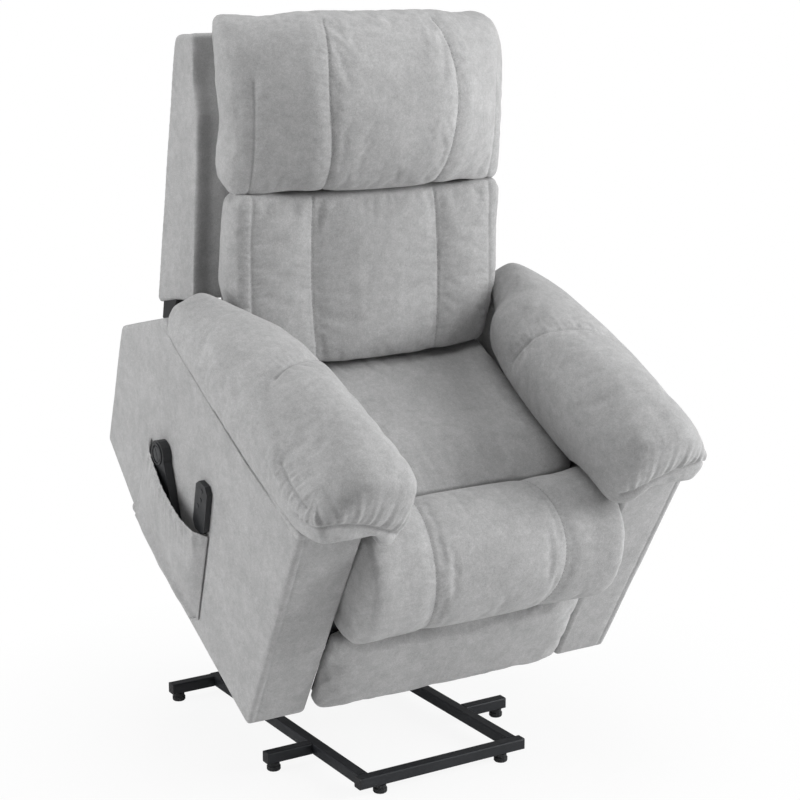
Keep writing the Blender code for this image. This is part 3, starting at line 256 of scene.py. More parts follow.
def worn_edges(add, link, radius):
    """1 on sharp edges and 0 on flats, from how far a rounded normal leaves the true one."""
    bevel = add("ShaderNodeBevel", samples=6, Radius=radius)
    true = add("ShaderNodeNewGeometry").outputs["True Normal"]
    dot = add("ShaderNodeVectorMath", operation="DOT_PRODUCT")
    link(bevel.outputs["Normal"], dot.inputs[0])
    link(true, dot.inputs[1])
    return spread(add, link, dot.outputs["Value"], 1.0, 0.0, 0.80, 0.985)


def coated(name, colour, edge, metallic, roughness, grain, edge_radius=0.0012):
    """Paint or plastic with a fine grain, uneven gloss, and edges rubbed lighter."""
    made, shader, add, link = node_tree(name)
    place = add("ShaderNodeTexCoord").outputs["Object"]
    rubbed = worn_edges(add, link, edge_radius)
    patchy = spread(add, link, noise_at(add, link, place, 55, 5.0), 0.15, 0.75)
    mask = times(add, link, rubbed, patchy)
    tint = add("ShaderNodeMix", data_type="RGBA")
    tint.inputs[6].default_value = (*colour, 1)
    tint.inputs[7].default_value = (*edge, 1)
    link(mask, tint.inputs["Factor"])
    dust = spread(add, link, noise_at(add, link, place, 18, 4.0), 0.88, 1.14)
    link(toned(add, link, tint.outputs[2], dust), shader.inputs["Base Color"])
    gloss = spread(add, link, noise_at(add, link, place, 30, 4.0), roughness - 0.06, roughness + 0.08)
    link(gloss, shader.inputs["Roughness"])
    shader.inputs["Metallic"].default_value = metallic
    bump = add("ShaderNodeBump", Strength=0.25, Distance=0.0003)
    link(noise_at(add, link, place, grain, 2.0), bump.inputs["Height"])
    link(bump.outputs["Normal"], shader.inputs["Normal"])
    return made


def drawn_steel(name, colour, roughness):
    """Bare steel with fine lines along its length and faint smears."""
    made, shader, add, link = node_tree(name)
    place = add("ShaderNodeTexCoord").outputs["Object"]
    lines = noise_at(add, link, place, 900, 2.0, 0.5, (1, 0.05, 0.05))
    tone = spread(add, link, noise_at(add, link, place, 25, 4.0), 0.85, 1.1)
    link(toned(add, link, colour, tone), shader.inputs["Base Color"])
    link(spread(add, link, lines, roughness - 0.06, roughness + 0.08), shader.inputs["Roughness"])
    shader.inputs["Metallic"].default_value = 1.0
    bump = add("ShaderNodeBump", Strength=0.15, Distance=0.0002)
    link(lines, bump.inputs["Height"])
    link(bump.outputs["Normal"], shader.inputs["Normal"])
    return made


def plywood(name):
    """Unfinished birch ply: long grain and a little colour drift."""
    made, shader, add, link = node_tree(name)
    place = add("ShaderNodeTexCoord").outputs["Object"]
    grain = noise_at(add, link, place, 60, 6.0, 0.6, (0.12, 1.6, 1.6))
    ramp = add("ShaderNodeValToRGB")
    ramp.color_ramp.elements[0].color = (0.42, 0.28, 0.15, 1)
    ramp.color_ramp.elements[1].color = (0.62, 0.46, 0.28, 1)
    link(grain, ramp.inputs["Fac"])
    link(ramp.outputs["Color"], shader.inputs["Base Color"])
    link(spread(add, link, grain, 0.6, 0.8), shader.inputs["Roughness"])
    bump = add("ShaderNodeBump", Strength=0.3, Distance=0.0004)
    link(grain, bump.inputs["Height"])
    link(bump.outputs["Normal"], shader.inputs["Normal"])
    return made


SUEDE = suede("grey_suede", 0.43)
# The core's cover is a lining cloth, made dark grey here to paint the shade in the recess between the outer
# back and the pads.
LINING_DARKENED_AS_SHADE = suede("lining_cloth", 0.15, 0.7)
THREAD_CLOTH = suede("seam_thread", 0.33, 0.5)
STEEL = coated("black_powder_coat", (0.026, 0.028, 0.032), (0.10, 0.10, 0.11), 0.3, 0.42, 1500)
CAP = coated("black_end_cap", (0.018, 0.018, 0.020), (0.06, 0.06, 0.06), 0.0, 0.55, 1100)
CASE = coated("black_case", (0.015, 0.016, 0.018), (0.07, 0.07, 0.075), 0.0, 0.38, 1300, 0.0008)
RUBBER = coated("button_rubber", (0.045, 0.047, 0.050), (0.12, 0.12, 0.12), 0.0, 0.62, 900, 0.0005)
CHROME = drawn_steel("bright_rod", (0.60, 0.60, 0.61), 0.22)
SPRING = drawn_steel("spring_wire", (0.24, 0.24, 0.25), 0.40)
PLY = plywood("birch_ply")
FINISH = {"black_steel": STEEL, "black_plastic": CASE, "button_rubber": RUBBER, "bright_steel": CHROME,
          "spring_wire": SPRING, "plywood": PLY, "grey_fabric": SUEDE, "lining_cloth": LINING_DARKENED_AS_SHADE}


# ---------------------------------------------------------------- meshes in the chair's frame

def link_object(name, data):
    made = bpy.data.objects.new(name, data)
    bpy.context.scene.collection.objects.link(made)
    return made


def mesh_object(name, work, place=CHAIR):
    """work as an object in the chair's frame, or another one. It is used up."""
    data = bpy.data.meshes.new(name)
    work.to_mesh(data)
    work.free()
    made = link_object(name, data)
    made.matrix_world = place
    return made


def chair_solids(nodes):
    """Several CAD nodes as closed solids in the chair's frame."""
    work = bmesh.new()
    for node in nodes:
        work.from_mesh(CAD_NODES[node].data)
    bmesh.ops.transform(work, matrix=CHAIR.inverted(), verts=work.verts)
    bmesh.ops.remove_doubles(work, verts=work.verts, dist=1e-6)
    bmesh.ops.recalc_face_normals(work, faces=work.faces)
    return work


def chair_tree(nodes):
    """A search tree over several CAD nodes, in the chair's frame."""
    work = chair_solids(nodes)
    tree = BVHTree.FromBMesh(work)
    work.free()
    return tree


def smooth_shaded(obj):
    for polygon in obj.data.polygons:
        polygon.use_smooth = True


def placed(obj):
    """Takes a finished piece from the chair's frame to the shared one."""
    obj.data.transform(CHAIR)
    obj.matrix_world = Matrix.Identity(4)


def settled(obj):
    """Works obj's modifiers into its mesh."""
    graph = bpy.context.evaluated_depsgraph_get()
    graph.update()
    data = bpy.data.meshes.new_from_object(obj.evaluated_get(graph))
    obj.modifiers.clear()
    obj.data = data
    return obj


def smoothed(obj, rounds):
    smooth = obj.modifiers.new("smooth", "SMOOTH")
    smooth.factor = 0.5
    smooth.iterations = rounds
    return settled(obj)


def remeshed(obj, rounds):
    """obj as even cells, smoothed a number of times."""
    cells = obj.modifiers.new("cells", "REMESH")
    cells.mode = "VOXEL"
    cells.voxel_size = VOXEL
    return smoothed(obj, rounds)


def finer(obj):
    step = obj.modifiers.new("finer", "SUBSURF")
    step.levels = step.render_levels = 1
    return settled(obj)


def points_of(obj):
    co = np.empty(len(obj.data.vertices) * 3, np.float32)
    obj.data.vertices.foreach_get("co", co)
    return co.reshape(-1, 3).astype(float)


def normals_of(obj):
    co = np.empty(len(obj.data.vertices) * 3, np.float32)
    obj.data.vertices.foreach_get("normal", co)
    return co.reshape(-1, 3).astype(float)


def move_to(obj, points):
    obj.data.vertices.foreach_set("co", points.astype(np.float32).ravel())
    obj.data.update()


def tree_of(obj):
    work = bmesh.new()
    work.from_mesh(obj.data)
    tree = BVHTree.FromBMesh(work)
    work.free()
    return tree


# ---------------------------------------------------------------- seams

def smooth_line(points, step=SEAM_STEP):
    """Points a step apart on a smooth line through the given ones."""
    pts = [np.array(p, float) for p in points]
    pts = [2 * pts[0] - pts[1], *pts, 2 * pts[-1] - pts[-2]]
    out = []
    for a, b, c, d in zip(pts, pts[1:], pts[2:], pts[3:]):
        n = max(2, int(np.linalg.norm(c - b) / step))
        for t in np.linspace(0, 1, n, endpoint=False):
            out.append(0.5 * (2 * b + (c - a) * t + (2 * a - 5 * b + 4 * c - d) * t * t
                              + (3 * b - a - 3 * c + d) * t ** 3))
    out.append(pts[-2])
    return np.array(out)


def drawn_on(tree, points, toward):
    """The smooth line through points, moved onto the surface along a direction."""
    way = Vector(toward).normalized()
    found = []
    for p in smooth_line(points):
        hit, _, _, _ = tree.ray_cast(Vector(p) - way * RAY_START, way)
        if hit is not None:
            found.append(hit[:])
    return np.array(found)


def wrapped(tree, middle, axis, start, end, slide):
    """A seam round an axis (0 sideways, 1 back) from angle start to end, in degrees.

    slide gives its place along the axis from the share of the way round.
    """
    found = []
    turns = max(20, int(abs(end - start) * WRAP_POINTS))
    for k in range(turns + 1):
        share = k / turns
        angle = math.radians(start + (end - start) * share)
        out = Vector((0, math.cos(angle), math.sin(angle)))
        if axis == 1:
            out = Vector((math.cos(angle), 0, math.sin(angle)))
        spot = Vector(middle)
        spot[axis] = slide(share)
        hit, _, _, _ = tree.ray_cast(spot + out * RAY_REACH, -out)
        if hit is not None:
            found.append(hit[:])
    return smooth_line(found)


class Seam:
    """A sewn line on a cushion.

    It cuts a groove of a depth and width, and pulls the cover in by pull over its reach. Puckers of
    a height and pitch run off it and fade out. gathered is the way they run, if only to one side.
    """

    def __init__(self, line, depth=0.0022, width=0.0032, pull=0.0025, reach=0.020,
                 pucker=0.0, pitch=0.020, fade=0.030, stitches=False, gathered=None):
        self.line = line
        self.gathered = gathered
        self.depth, self.width = depth, width
        self.pull, self.reach = pull, reach
        self.pucker, self.pitch, self.fade = pucker, pitch, fade
        self.stitches = stitches
        steps = np.linalg.norm(np.diff(line, axis=0), axis=1)
        self.along = np.concatenate(([0], np.cumsum(steps)))
        self.tree = KDTree(len(line))
        for k, p in enumerate(line):
            self.tree.insert(p, k)
        self.tree.balance()

    def measure(self, points):
        """Each point's distance from the seam, and how far along it that is."""
        away = np.full(len(points), 1.0)
        along = np.zeros(len(points))
        room = 3 * max(self.reach, self.fade if self.pucker else 0)
        above = points > self.line.min(axis=0) - room
        below = points < self.line.max(axis=0) + room
        for k in np.flatnonzero((above & below).all(axis=1)).tolist():
            _, i, d = self.tree.find(points[k])
            away[k] = d
            along[k] = self.along[i]
        return away, along


def ease(value, start, end):
    """0 before start, 1 after end, with a smooth step between."""
    t = np.clip((value - start) / (end - start), 0, 1)
    return t * t * (3 - 2 * t)


def ripple(along, pitch, phase):
    """Uneven folds along a seam: three waves whose lengths don't match."""
    w = 2 * math.pi / pitch
    folds = (np.sin(w * along + phase) + 0.7 * np.sin(1.73 * w * along + 2.1 * phase + 1)
             + 0.5 * np.sin(0.57 * w * along + 0.7 * phase + 2))
    return folds / 2.2


def sew(obj, seams):
    """Pulls the seams into a cushion's surface and lets puckers run off them."""
    points, normals = points_of(obj), normals_of(obj)
    shift = np.zeros(len(points))
    for k, seam in enumerate(seams):
        away, along = seam.measure(points)
        shift -= seam.depth * np.exp(-(away / seam.width) ** 2)
        shift -= seam.pull * np.exp(-(away / seam.reach) ** 2)
        if seam.pucker:
            near = np.exp(-away / seam.fade) * (1 - np.exp(-(away / PUCKER_START) ** 2))
            end = np.minimum(along, seam.along[-1] - along)
            near *= np.clip(end / PUCKER_END, 0.25, 1)
            if seam.gathered:
                starts = np.array([np.interp(along, seam.along, seam.line[:, k]) for k in range(3)]).T
                near *= ease((points - starts) @ np.array(seam.gathered, float), 0.0, PUCKER_START)
            shift += seam.pucker * near * ripple(along + 0.25 * away, seam.pitch, 1.3 * k)
    move_to(obj, points + normals * shift[:, None])


def stitching(name, seams, obj):
    """Short threads laid along the sewn lines, just proud of the groove's floor."""
    work = bmesh.new()
    tree = tree_of(obj)
    for seam in seams:
        if not seam.stitches:
            continue
        start = STITCH_GAP
        while start + STITCH < seam.along[-1]:
            ends = []
            for s in np.linspace(start, start + STITCH, STITCH_RINGS):
                k = min(np.searchsorted(seam.along, s), len(seam.line) - 1)
                spot, normal, _, _ = tree.find_nearest(Vector(seam.line[k]))
                ends.append((spot, normal))
            add_thread(work, ends)
            start += STITCH + STITCH_GAP
    return mesh_object(name, work)


def add_thread(work, ends):
    """One stitch: a thread that dips into the cloth at both ends."""
    rings = []
    for k, (spot, normal) in enumerate(ends):
        first, last = k == 0, k == len(ends) - 1
        ahead = ends[min(k + 1, len(ends) - 1)][0] - ends[max(k - 1, 0)][0]
        if ahead.length < 1e-6:
            return
        ahead.normalize()
        side = ahead.cross(normal).normalized()
        lift = -0.6 * THREAD if first or last else 0.75 * THREAD
        width = 0.55 * THREAD if first or last else THREAD
        ring = []
        for j in range(THREAD_SIDES):
            angle = 2 * math.pi * j / THREAD_SIDES
            ring.append(work.verts.new(spot + normal * (lift + width * math.sin(angle))
                                       + side * width * math.cos(angle)))
        rings.append(ring)
    for a, b in zip(rings, rings[1:]):
        for j in range(THREAD_SIDES):
            n = (j + 1) % THREAD_SIDES
            work.faces.new((a[j], a[n], b[n], b[j]))
    work.faces.new(rings[0][::-1])
    work.faces.new(rings[-1])


# ---------------------------------------------------------------- cushions

def behind(here, spot, facing, away):
    """True inside a solid whose nearest point is spot; a tie at an edge counts as outside."""
    return (here - spot).dot(facing) < TIE * away


class Cushion:
    """One soft piece on its way from the plain solid to the sewn, filled cover.

    cap is how far the cloth may carry its points, and bulge how far the cover may stand out from
    the solid. rounds is how often the first mesh is smoothed, and shape what is added to it then.
    held says which points lie on what is behind or below, from their places and normals.
    """

    def __init__(self, name, node, body, cap=0.016, rounds=10, bulge=0.010, shape=None):
        self.name, self.node, self.body = name, node, body
        self.cap, self.rounds, self.bulge = cap, rounds, bulge
        self.shape = shape
        self.obj = mesh_object(name, chair_solids([node]))
        self.solid = tree_of(self.obj)
        self.seams = []
        self.held = lambda p, n: np.zeros(len(p), bool)

    def prepare(self):
        remeshed(self.obj, self.rounds)
        for _ in range(REGAINS):
            self.regain()
        if self.shape:
            points = points_of(self.obj)
            move_to(self.obj, points + self.shape(points))
        self.rest = points_of(self.obj)

    def regain(self):
        """Brings the smoothed mesh back out to the solid, by an even amount from point to point."""
        points, normals = points_of(self.obj), normals_of(self.obj)
        short = np.empty(len(points))
        for k, p in enumerate(points.tolist()):
            spot = self.solid.find_nearest(p)[0]
            short[k] = ((spot.x - p[0]) * normals[k, 0] + (spot.y - p[1]) * normals[k, 1]
                        + (spot.z - p[2]) * normals[k, 2])
        ends = np.empty(len(self.obj.data.edges) * 2, np.int32)
        self.obj.data.edges.foreach_get("vertices", ends)
        a, b = ends[::2], ends[1::2]
        shared = np.bincount(ends, minlength=len(points))
        for _ in range(6):
            near = np.bincount(a, short[b], len(points)) + np.bincount(b, short[a], len(points))
            short = 0.5 * short + 0.5 * near / np.maximum(shared, 1)
        move_to(self.obj, points + normals * short[:, None])

    def add_cloth(self):
        """Pins the cover along its seams and where it rests, and lets the filling press it out."""
        pins = self.held(self.rest, normals_of(self.obj))
        weight = np.where(pins, 1.0, 0.0)
        for seam in self.seams:
            away, _ = seam.measure(self.rest)
            weight = np.maximum(weight, np.clip(1.3 - away / PIN_REACH, 0, 1))
        group = self.obj.vertex_groups.new(name="held")
        for k in np.flatnonzero(weight > 0):
            group.add([int(k)], float(weight[k]), "REPLACE")
        cloth = self.obj.modifiers.new("cloth", "CLOTH")
        s = cloth.settings
        s.quality = CLOTH_QUALITY
        s.mass = CLOTH_MASS
        s.tension_stiffness = s.compression_stiffness = STRETCH_STIFFNESS
        s.shear_stiffness = SHEAR_STIFFNESS
        s.bending_stiffness = BENDING_STIFFNESS
        s.vertex_group_mass = "held"
        s.pin_stiffness = PIN_STIFFNESS
        s.shrink_min = -CLOTH_GROWTH
        s.use_pressure = True
        s.uniform_pressure_force = AIR
        s.effector_weights.gravity = 0
        cloth.collision_settings.use_self_collision = False
        cloth.point_cache.frame_start = 1
        cloth.point_cache.frame_end = CLOTH_FRAMES

    def after_cloth(self):
        """Keeps the pressed cover within its cap, and smooths the single cells."""
        settled(self.obj)
        moved = points_of(self.obj) - self.rest
        far = np.linalg.norm(moved, axis=1)
        keep = np.minimum(1, self.cap / np.maximum(far, 1e-9))
        move_to(self.obj, self.rest + moved * keep[:, None])
        smoothed(self.obj, 3)

    def keep_in(self, soft, hard):
        """Holds the cover near its solid, short of half way to soft neighbours, and off hard ones."""
        points = points_of(self.obj)
        for k, p in enumerate(points.tolist()):
            here = Vector(p)
            spot, normal, _, away = self.solid.find_nearest(p)
            if behind(here, spot, normal, away):
                if away > DEEP:
                    continue
                way, away = normal, -away
            else:
                way = (here - spot).normalized() if away > 1e-6 else normal
            other, facing, _, room = soft.find_nearest(p)
            if behind(here, other, facing, room):
                room = -room
            limit = min(self.bulge, (away + room - NEIGHBOUR_GAP) / 2)
            if away > limit:
                here = spot + way * limit
            other, facing, _, room = hard.find_nearest(here)
            if behind(here, other, facing, room) or room < NEIGHBOUR_GAP:
                here = other + facing * NEIGHBOUR_GAP
            points[k] = here
        move_to(self.obj, points)

    def finish(self, material=SUEDE, padded=True, slot="grey_fabric"):
        """Gives the piece its cloth and hands it to the frame."""
        smooth_shaded(self.obj)
        self.obj.data.materials.clear()
        self.obj.data.materials.append(material)
        placed(self.obj)
        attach(self.obj, self.body)
        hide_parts(self.node)


# ---------------------------------------------------------------- camera, light and floor

def camera():
    data = bpy.data.cameras.new("camera")
    data.lens = CAMERA_LENS
    data.sensor_width = CAMERA_SENSOR
    made = link_object("camera", data)
    made.location = CAMERA_PLACE
    made.rotation_euler = CAMERA_TURN
    bpy.context.scene.camera = made


def lamp(name, place, target, size, watts):
    """A soft box at place that faces target."""
    data = bpy.data.lights.new(name, "AREA")
    data.shape = "RECTANGLE"
    data.size, data.size_y = size
    data.energy = watts
    made = link_object(name, data)
    made.location = place
    made.rotation_euler = (Vector(target) - Vector(place)).to_track_quat("-Z", "Y").to_euler()


def white_floor():
    """White board that keeps the chair's shadow near it and fades into the white room further out."""
    made, shader, add, link = node_tree("white_floor")
    shader.inputs["Base Color"].default_value = (FLOOR_PAINT, FLOOR_PAINT, FLOOR_PAINT, 1)
    shader.inputs["Roughness"].default_value = 0.95
    shader.inputs["Specular IOR Level"].default_value = 0.1
    place = add("ShaderNodeTexCoord").outputs["Object"]
    away = add("ShaderNodeVectorMath", operation="LENGTH")
    link(place, away.inputs[0])
    share = spread(add, link, away.outputs["Value"], FLOOR_WHITE, 1.0, *FLOOR_FADE)
    paint = noise_at(add, link, place, 260, 2.0)
    bump = add("ShaderNodeBump", Strength=0.05, Distance=0.0005)
    link(paint, bump.inputs["Height"])
    link(bump.outputs["Normal"], shader.inputs["Normal"])
    path = add("ShaderNodeLightPath").outputs["Is Camera Ray"]
    glow = add("ShaderNodeEmission", Color=WHITE, Strength=1.0)
    mix = add("ShaderNodeMixShader")
    link(times(add, link, share, path), mix.inputs["Fac"])
    link(shader.outputs["BSDF"], mix.inputs[1])
    link(glow.outputs["Emission"], mix.inputs[2])
    link(mix.outputs["Shader"], made.node_tree.nodes["Material Output"].inputs["Surface"])
    return made


def studio():
    """A white room: soft boxes at both sides and above, and a pale floor that takes the shadow."""
    for settings in LAMPS:
        lamp(*settings)
    world = bpy.data.worlds.new("room")
    world.use_nodes = True
    bpy.context.scene.world = world
    tree = world.node_tree
    path = tree.nodes.new("ShaderNodeLightPath")
    shown = tree.nodes.new("ShaderNodeBackground")
    shown.inputs["Strength"].default_value = 1.0
    shown.inputs["Color"].default_value = WHITE
    fill = tree.nodes["Background"]
    fill.inputs["Color"].default_value = WHITE
    fill.inputs["Strength"].default_value = ROOM_FILL
    mix = tree.nodes.new("ShaderNodeMixShader")
    tree.links.new(path.outputs["Is Camera Ray"], mix.inputs["Fac"])
    tree.links.new(fill.outputs["Background"], mix.inputs[1])
    tree.links.new(shown.outputs["Background"], mix.inputs[2])
    tree.links.new(mix.outputs["Shader"], tree.nodes["World Output"].inputs["Surface"])
    work = bmesh.new()
    bmesh.ops.create_grid(work, x_segments=1, y_segments=1, size=FLOOR_HALF)
    floor = mesh_object("floor", work, Matrix.Identity(4))
    floor.data.materials.append(white_floor())


# ---------------------------------------------------------------- the chair's soft pieces

def cushion(name, node, body, **settings):
    """A new cushion with its first shape. Its seams and rests are added after."""
    made = Cushion(name, node, body, **settings)
    made.prepare()
    return made


def head_shape(p):
    """Squares the headrest: full upper corners, a flatter top, and lower corners on the lumbar pad."""
    out = ease(np.abs(p[:, 0]), 0.19, 0.31)
    low = ease(-p[:, 2], -0.885, -0.81)
    moved = np.zeros_like(p)
    moved[:, 2] = ease(p[:, 2], 0.92, 1.03) * (-0.014 + 0.034 * (p[:, 0] / 0.31) ** 2) - 0.022 * out * low
    moved[:, 0] = np.sign(p[:, 0]) * out * (0.005 + 0.013 * low)
    return moved


def head_cushion():
    made = cushion("head_cushion", "headrest", "back", cap=0.012, bulge=0.024, shape=head_shape)
    tree = tree_of(made.obj)
    middle = (0, 0.80, 0.94)
    for side in (-1, 1):
        line = wrapped(tree, middle, 0, 70, 247,
                       lambda s, side=side: side * (0.130 + 0.024 * math.sin(math.pi * s ** 0.8)))
        made.seams.append(Seam(line, stitches=True, pucker=0.0010, pitch=0.016, fade=0.016))
        gusset = wrapped(tree, middle, 0, 95, 245, lambda s, side=side: side * 0.292)
        made.seams.append(Seam(gusset, depth=0.0020, pull=0.0015, reach=0.012,
                               pucker=0.0016, pitch=0.015, fade=0.016))
    made.held = lambda p, n: (n[:, 1] > 0.7) | ((n[:, 2] < -0.75) & (p[:, 2] < 0.80))
    return made


def lumbar_shape(p):
    """Fills the lumbar pad out to the headrest's width and up to its lower corners."""
    out = ease(np.abs(p[:, 0]), 0.19, 0.29)
    moved = np.zeros_like(p)
    moved[:, 0] = np.sign(p[:, 0]) * 0.020 * out * ease(p[:, 2], 0.50, 0.58)
    moved[:, 2] = 0.018 * out * ease(p[:, 2], 0.69, 0.75)
    return moved


def lumbar_cushion():
    made = cushion("lumbar_pad", "lumbar_cushion", "back", cap=0.012, bulge=0.024, shape=lumbar_shape)
    tree = tree_of(made.obj)
    for side in (-1, 1):
        line = drawn_on(tree, [(side * 0.146, 0, 0.790), (side * 0.152, 0, 0.72), (side * 0.155, 0, 0.64),
                               (side * 0.153, 0, 0.56), (side * 0.146, 0, 0.475)], (0, 1, 0))
        made.seams.append(Seam(line, stitches=True, pucker=0.0010, pitch=0.018, fade=0.018))
        gusset = drawn_on(tree, [(side * 0.288, 0, 0.782), (side * 0.292, 0, 0.70), (side * 0.293, 0, 0.58),
                                 (side * 0.288, 0, 0.47)], (0, 1, 0))
        made.seams.append(Seam(gusset, depth=0.0018, pull=0.0015, reach=0.012,
                               pucker=0.0014, pitch=0.016, fade=0.016))
    made.held = lambda p, n: (n[:, 1] > 0.6) | (n[:, 2] > 0.85) | (n[:, 2] < -0.85)
    return made


def seat_shape(p):
    """Fills the seat up beside the arm pads."""
    moved = np.zeros_like(p)
    moved[:, 2] = 0.012 * ease(np.abs(p[:, 0]), 0.20, 0.30) * ease(p[:, 2], 0.38, 0.42)
    return moved


def seat_pad():
    made = cushion("seat_pad", "seat_cushion", "chassis", cap=0.012, rounds=6, bulge=0.014, shape=seat_shape)
    made.held = lambda p, n: (p[:, 2] < 0.40) | (n[:, 1] > 0.8) | (n[:, 1] < -0.8)
    return made


def bolster_shape(p):
    """Squares the bolster's ends, so that it fills the opening between the boxes."""
    out = ease(np.abs(p[:, 0]), 0.21, 0.30)
    moved = np.zeros_like(p)
    moved[:, 2] = 0.016 * out * ease(p[:, 2], 0.38, 0.45)
    moved[:, 1] = -0.010 * out * ease(-p[:, 1], 0.0, 0.05)
    return moved


def front_bolster():
    made = cushion("front_bolster", "seat_bolster", "chassis", cap=0.014, bulge=0.018, shape=bolster_shape)
    tree = tree_of(made.obj)
    for side in (-1, 1):
        line = wrapped(tree, (0, 0.05, 0.345), 0, 55, 220,
                       lambda s, side=side: side * (0.136 + 0.020 * math.sin(math.pi * s)))
        made.seams.append(Seam(line, depth=0.0014, pull=0.0012, stitches=True, pucker=0.0010,
                               pitch=0.018, fade=0.018))
    made.held = lambda p, n: (n[:, 1] > 0.7) | (p[:, 2] < 0.26) | ((p[:, 1] > 0.0) & (p[:, 2] < 0.30))
    return made


def foot_shape(p):
    """Lets the footrest's cover hang below its board."""
    moved = np.zeros_like(p)
    moved[:, 2] = -0.022 * ease(-p[:, 2], -0.12, -0.04)
    return moved


def foot_cushion():
    made = cushion("foot_cushion", "footrest_pad", "footrest", cap=0.010, rounds=6, bulge=0.024,
                   shape=foot_shape)
    made.held = lambda p, n: (n[:, 1] > 0.6)
    return made


def arm_shape(side):
    """The stuffing lies towards the seat: a fuller inner flank, and a crown that slopes outwards."""
    def shape(p):
        x, back, up = side * p[:, 0], p[:, 1], p[:, 2]
        inner = ease(-x, -0.345, -0.275) * ease(-back, -0.56, -0.50)
        outer = ease(x, 0.37, 0.46)
        hanging = ease(x, 0.440, 0.462) * ease(-up, -0.60, -0.53) * ease(back, -0.035, 0.03)
        moved = np.zeros_like(p)
        moved[:, 0] = -side * (0.026 * inner * ease(up, 0.47, 0.52) + 0.014 * ease(up, 0.58, 0.66)
                               + 0.004 * outer * ease(up, 0.58, 0.64))
        moved[:, 2] = (-0.024 * inner * ease(-up, -0.54, -0.49)
                       - 0.020 * outer * ease(up, 0.56, 0.63) + 0.006 * inner * ease(up, 0.56, 0.62)
                       - (0.016 + 0.022 * ease(back, -0.02, 0.25)) * hanging)
        return moved
    return shape


def arm_cushion(side, name):
    """An arm pad, with a gathered seam over its front, a short one on its flank and one across."""
    made = cushion("arm_cushion_" + name, "arm_pad_" + name, "chassis", cap=0.016, bulge=0.036,
                   shape=arm_shape(side))
    tree = tree_of(made.obj)
    front = [(side * 0.468, 0, 0.566), (side * 0.450, 0, 0.582), (side * 0.420, 0, 0.586),
             (side * 0.380, 0, 0.580), (side * 0.335, 0, 0.565), (side * 0.295, 0, 0.545),
             (side * 0.262, 0, 0.522)]
    line = drawn_on(tree, front, (0, 1, 0))
    made.seams.append(Seam(line, depth=0.0042, width=0.0036, pull=0.004, reach=0.016,
                           pucker=0.0064, pitch=0.026, fade=0.030, gathered=(0, 0.3, 0.95)))
    flank = drawn_on(tree, [(0, 0.004, 0.598), (0, 0.069, 0.598), (0, 0.12, 0.604)], (-side, 0, 0))
    made.seams.append(Seam(flank, depth=0.0036, pull=0.003, pucker=0.0036, pitch=0.022, fade=0.022))
    across = wrapped(tree, (side * 0.372, 0, 0.585), 1, 200 if side > 0 else -20, 70 if side > 0 else 110,
                     lambda s: 0.385 - 0.085 * s)
    made.seams.append(Seam(across, depth=0.0034, width=0.0032, pull=0.0035, reach=0.024,
                           pucker=0.0018, pitch=0.026, fade=0.026))
    made.held = lambda p, n: (n[:, 2] < -0.6) | ((p[:, 2] < 0.50) & (n[:, 0] * side > 0.5))
    return made


def uneven(obj):
    """Lets the foam under a cover give a little here and there, inwards only."""
    size, depth = FOAM_DIPS
    points, normals = points_of(obj), normals_of(obj)
    dips = np.array([noise.noise(Vector(p) / size) for p in points])
    move_to(obj, points - normals * (depth * (0.5 + 0.5 * dips))[:, None])


def upholstered(name, node, lines, shape=None):
    """A board or box under thin foam: flat faces, rounded edges and sewn corners.

    lines holds, for each seam, its points, the way they are moved onto the surface, and settings.
    """
    made = Cushion(name, node, CAD_BODY[node], rounds=3, shape=shape)
    made.prepare()
    for points, toward, settings in lines:
        made.seams.append(Seam(drawn_on(made.solid, points, toward), **settings))
    finer(made.obj)
    uneven(made.obj)
    sew(made.obj, made.seams)
    return made


def side_panel(side, name):
    """The side box: a sewn corner at its front edge, and a seam below the arm pad on two faces."""
    corner = [(side * 0.4470, -0.02, 0.012), (side * 0.4540, -0.02, 0.27), (side * 0.4610, -0.02, 0.518)]
    strip = [(side * 0.325, -0.05, 0.511), (side * 0.39, -0.05, 0.511), (side * 0.452, -0.05, 0.513)]
    edge = [(side * 0.6, 0.006, 0.511), (side * 0.6, 0.20, 0.512), (side * 0.6, 0.42, 0.512),
            (side * 0.6, 0.63, 0.512)]
    fine = {"depth": 0.0013, "width": 0.0024, "pull": 0.0009, "reach": 0.010}
    return upholstered("side_panel_" + name, "side_box_" + name,
                       [(corner, (-side * 0.7, 0.7, 0), fine), (strip, (0, 1, 0), fine),
                        (edge, (-side, 0, 0), fine)])


def shell_shape(p):
    """Thin foam on the outer back, and a front edge that stands back from the pads."""
    moved = np.zeros_like(p)
    front = (p[:, 1] - 0.787) - (p[:, 2] - 0.459) * 0.49
    moved[:, 1] = (0.009 * ease(front, 0.06, 0.12)
                   + 0.018 * ease(-front, -0.03, 0.01) * ease(np.abs(p[:, 0]), 0.24, 0.28))
    moved[:, 2] = 0.006 * ease(p[:, 2], 0.86, 0.92)
    return moved


def core_shape(p):
    """The pads overhang the core at both sides."""
    moved = np.zeros_like(p)
    moved[:, 0] = -np.sign(p[:, 0]) * 0.030 * ease(np.abs(p[:, 0]), 0.20, 0.28)
    return moved


def back_panel():
    """The outer back, with a sewn corner along each front edge."""
    fine = {"depth": 0.0014, "width": 0.0024, "pull": 0.0008, "reach": 0.009,
            "pucker": 0.0006, "pitch": 0.014, "fade": 0.010}
    lines = []
    for side in (-1, 1):
        edge = [(side * 0.6, 1.049, 0.945), (side * 0.6, 0.941, 0.812), (side * 0.6, 0.866, 0.640),
                (side * 0.6, 0.792, 0.465)]
        lines.append((edge, (-side, 0, 0), fine))
    return upholstered("back_panel", "back_shell", lines, shape=shell_shape)


def around(grid):
    """The mean of the four neighbours of each inner point of a grid."""
    return (grid[:-2, 1:-1] + grid[2:, 1:-1] + grid[1:-1, :-2] + grid[1:-1, 2:]) / 4


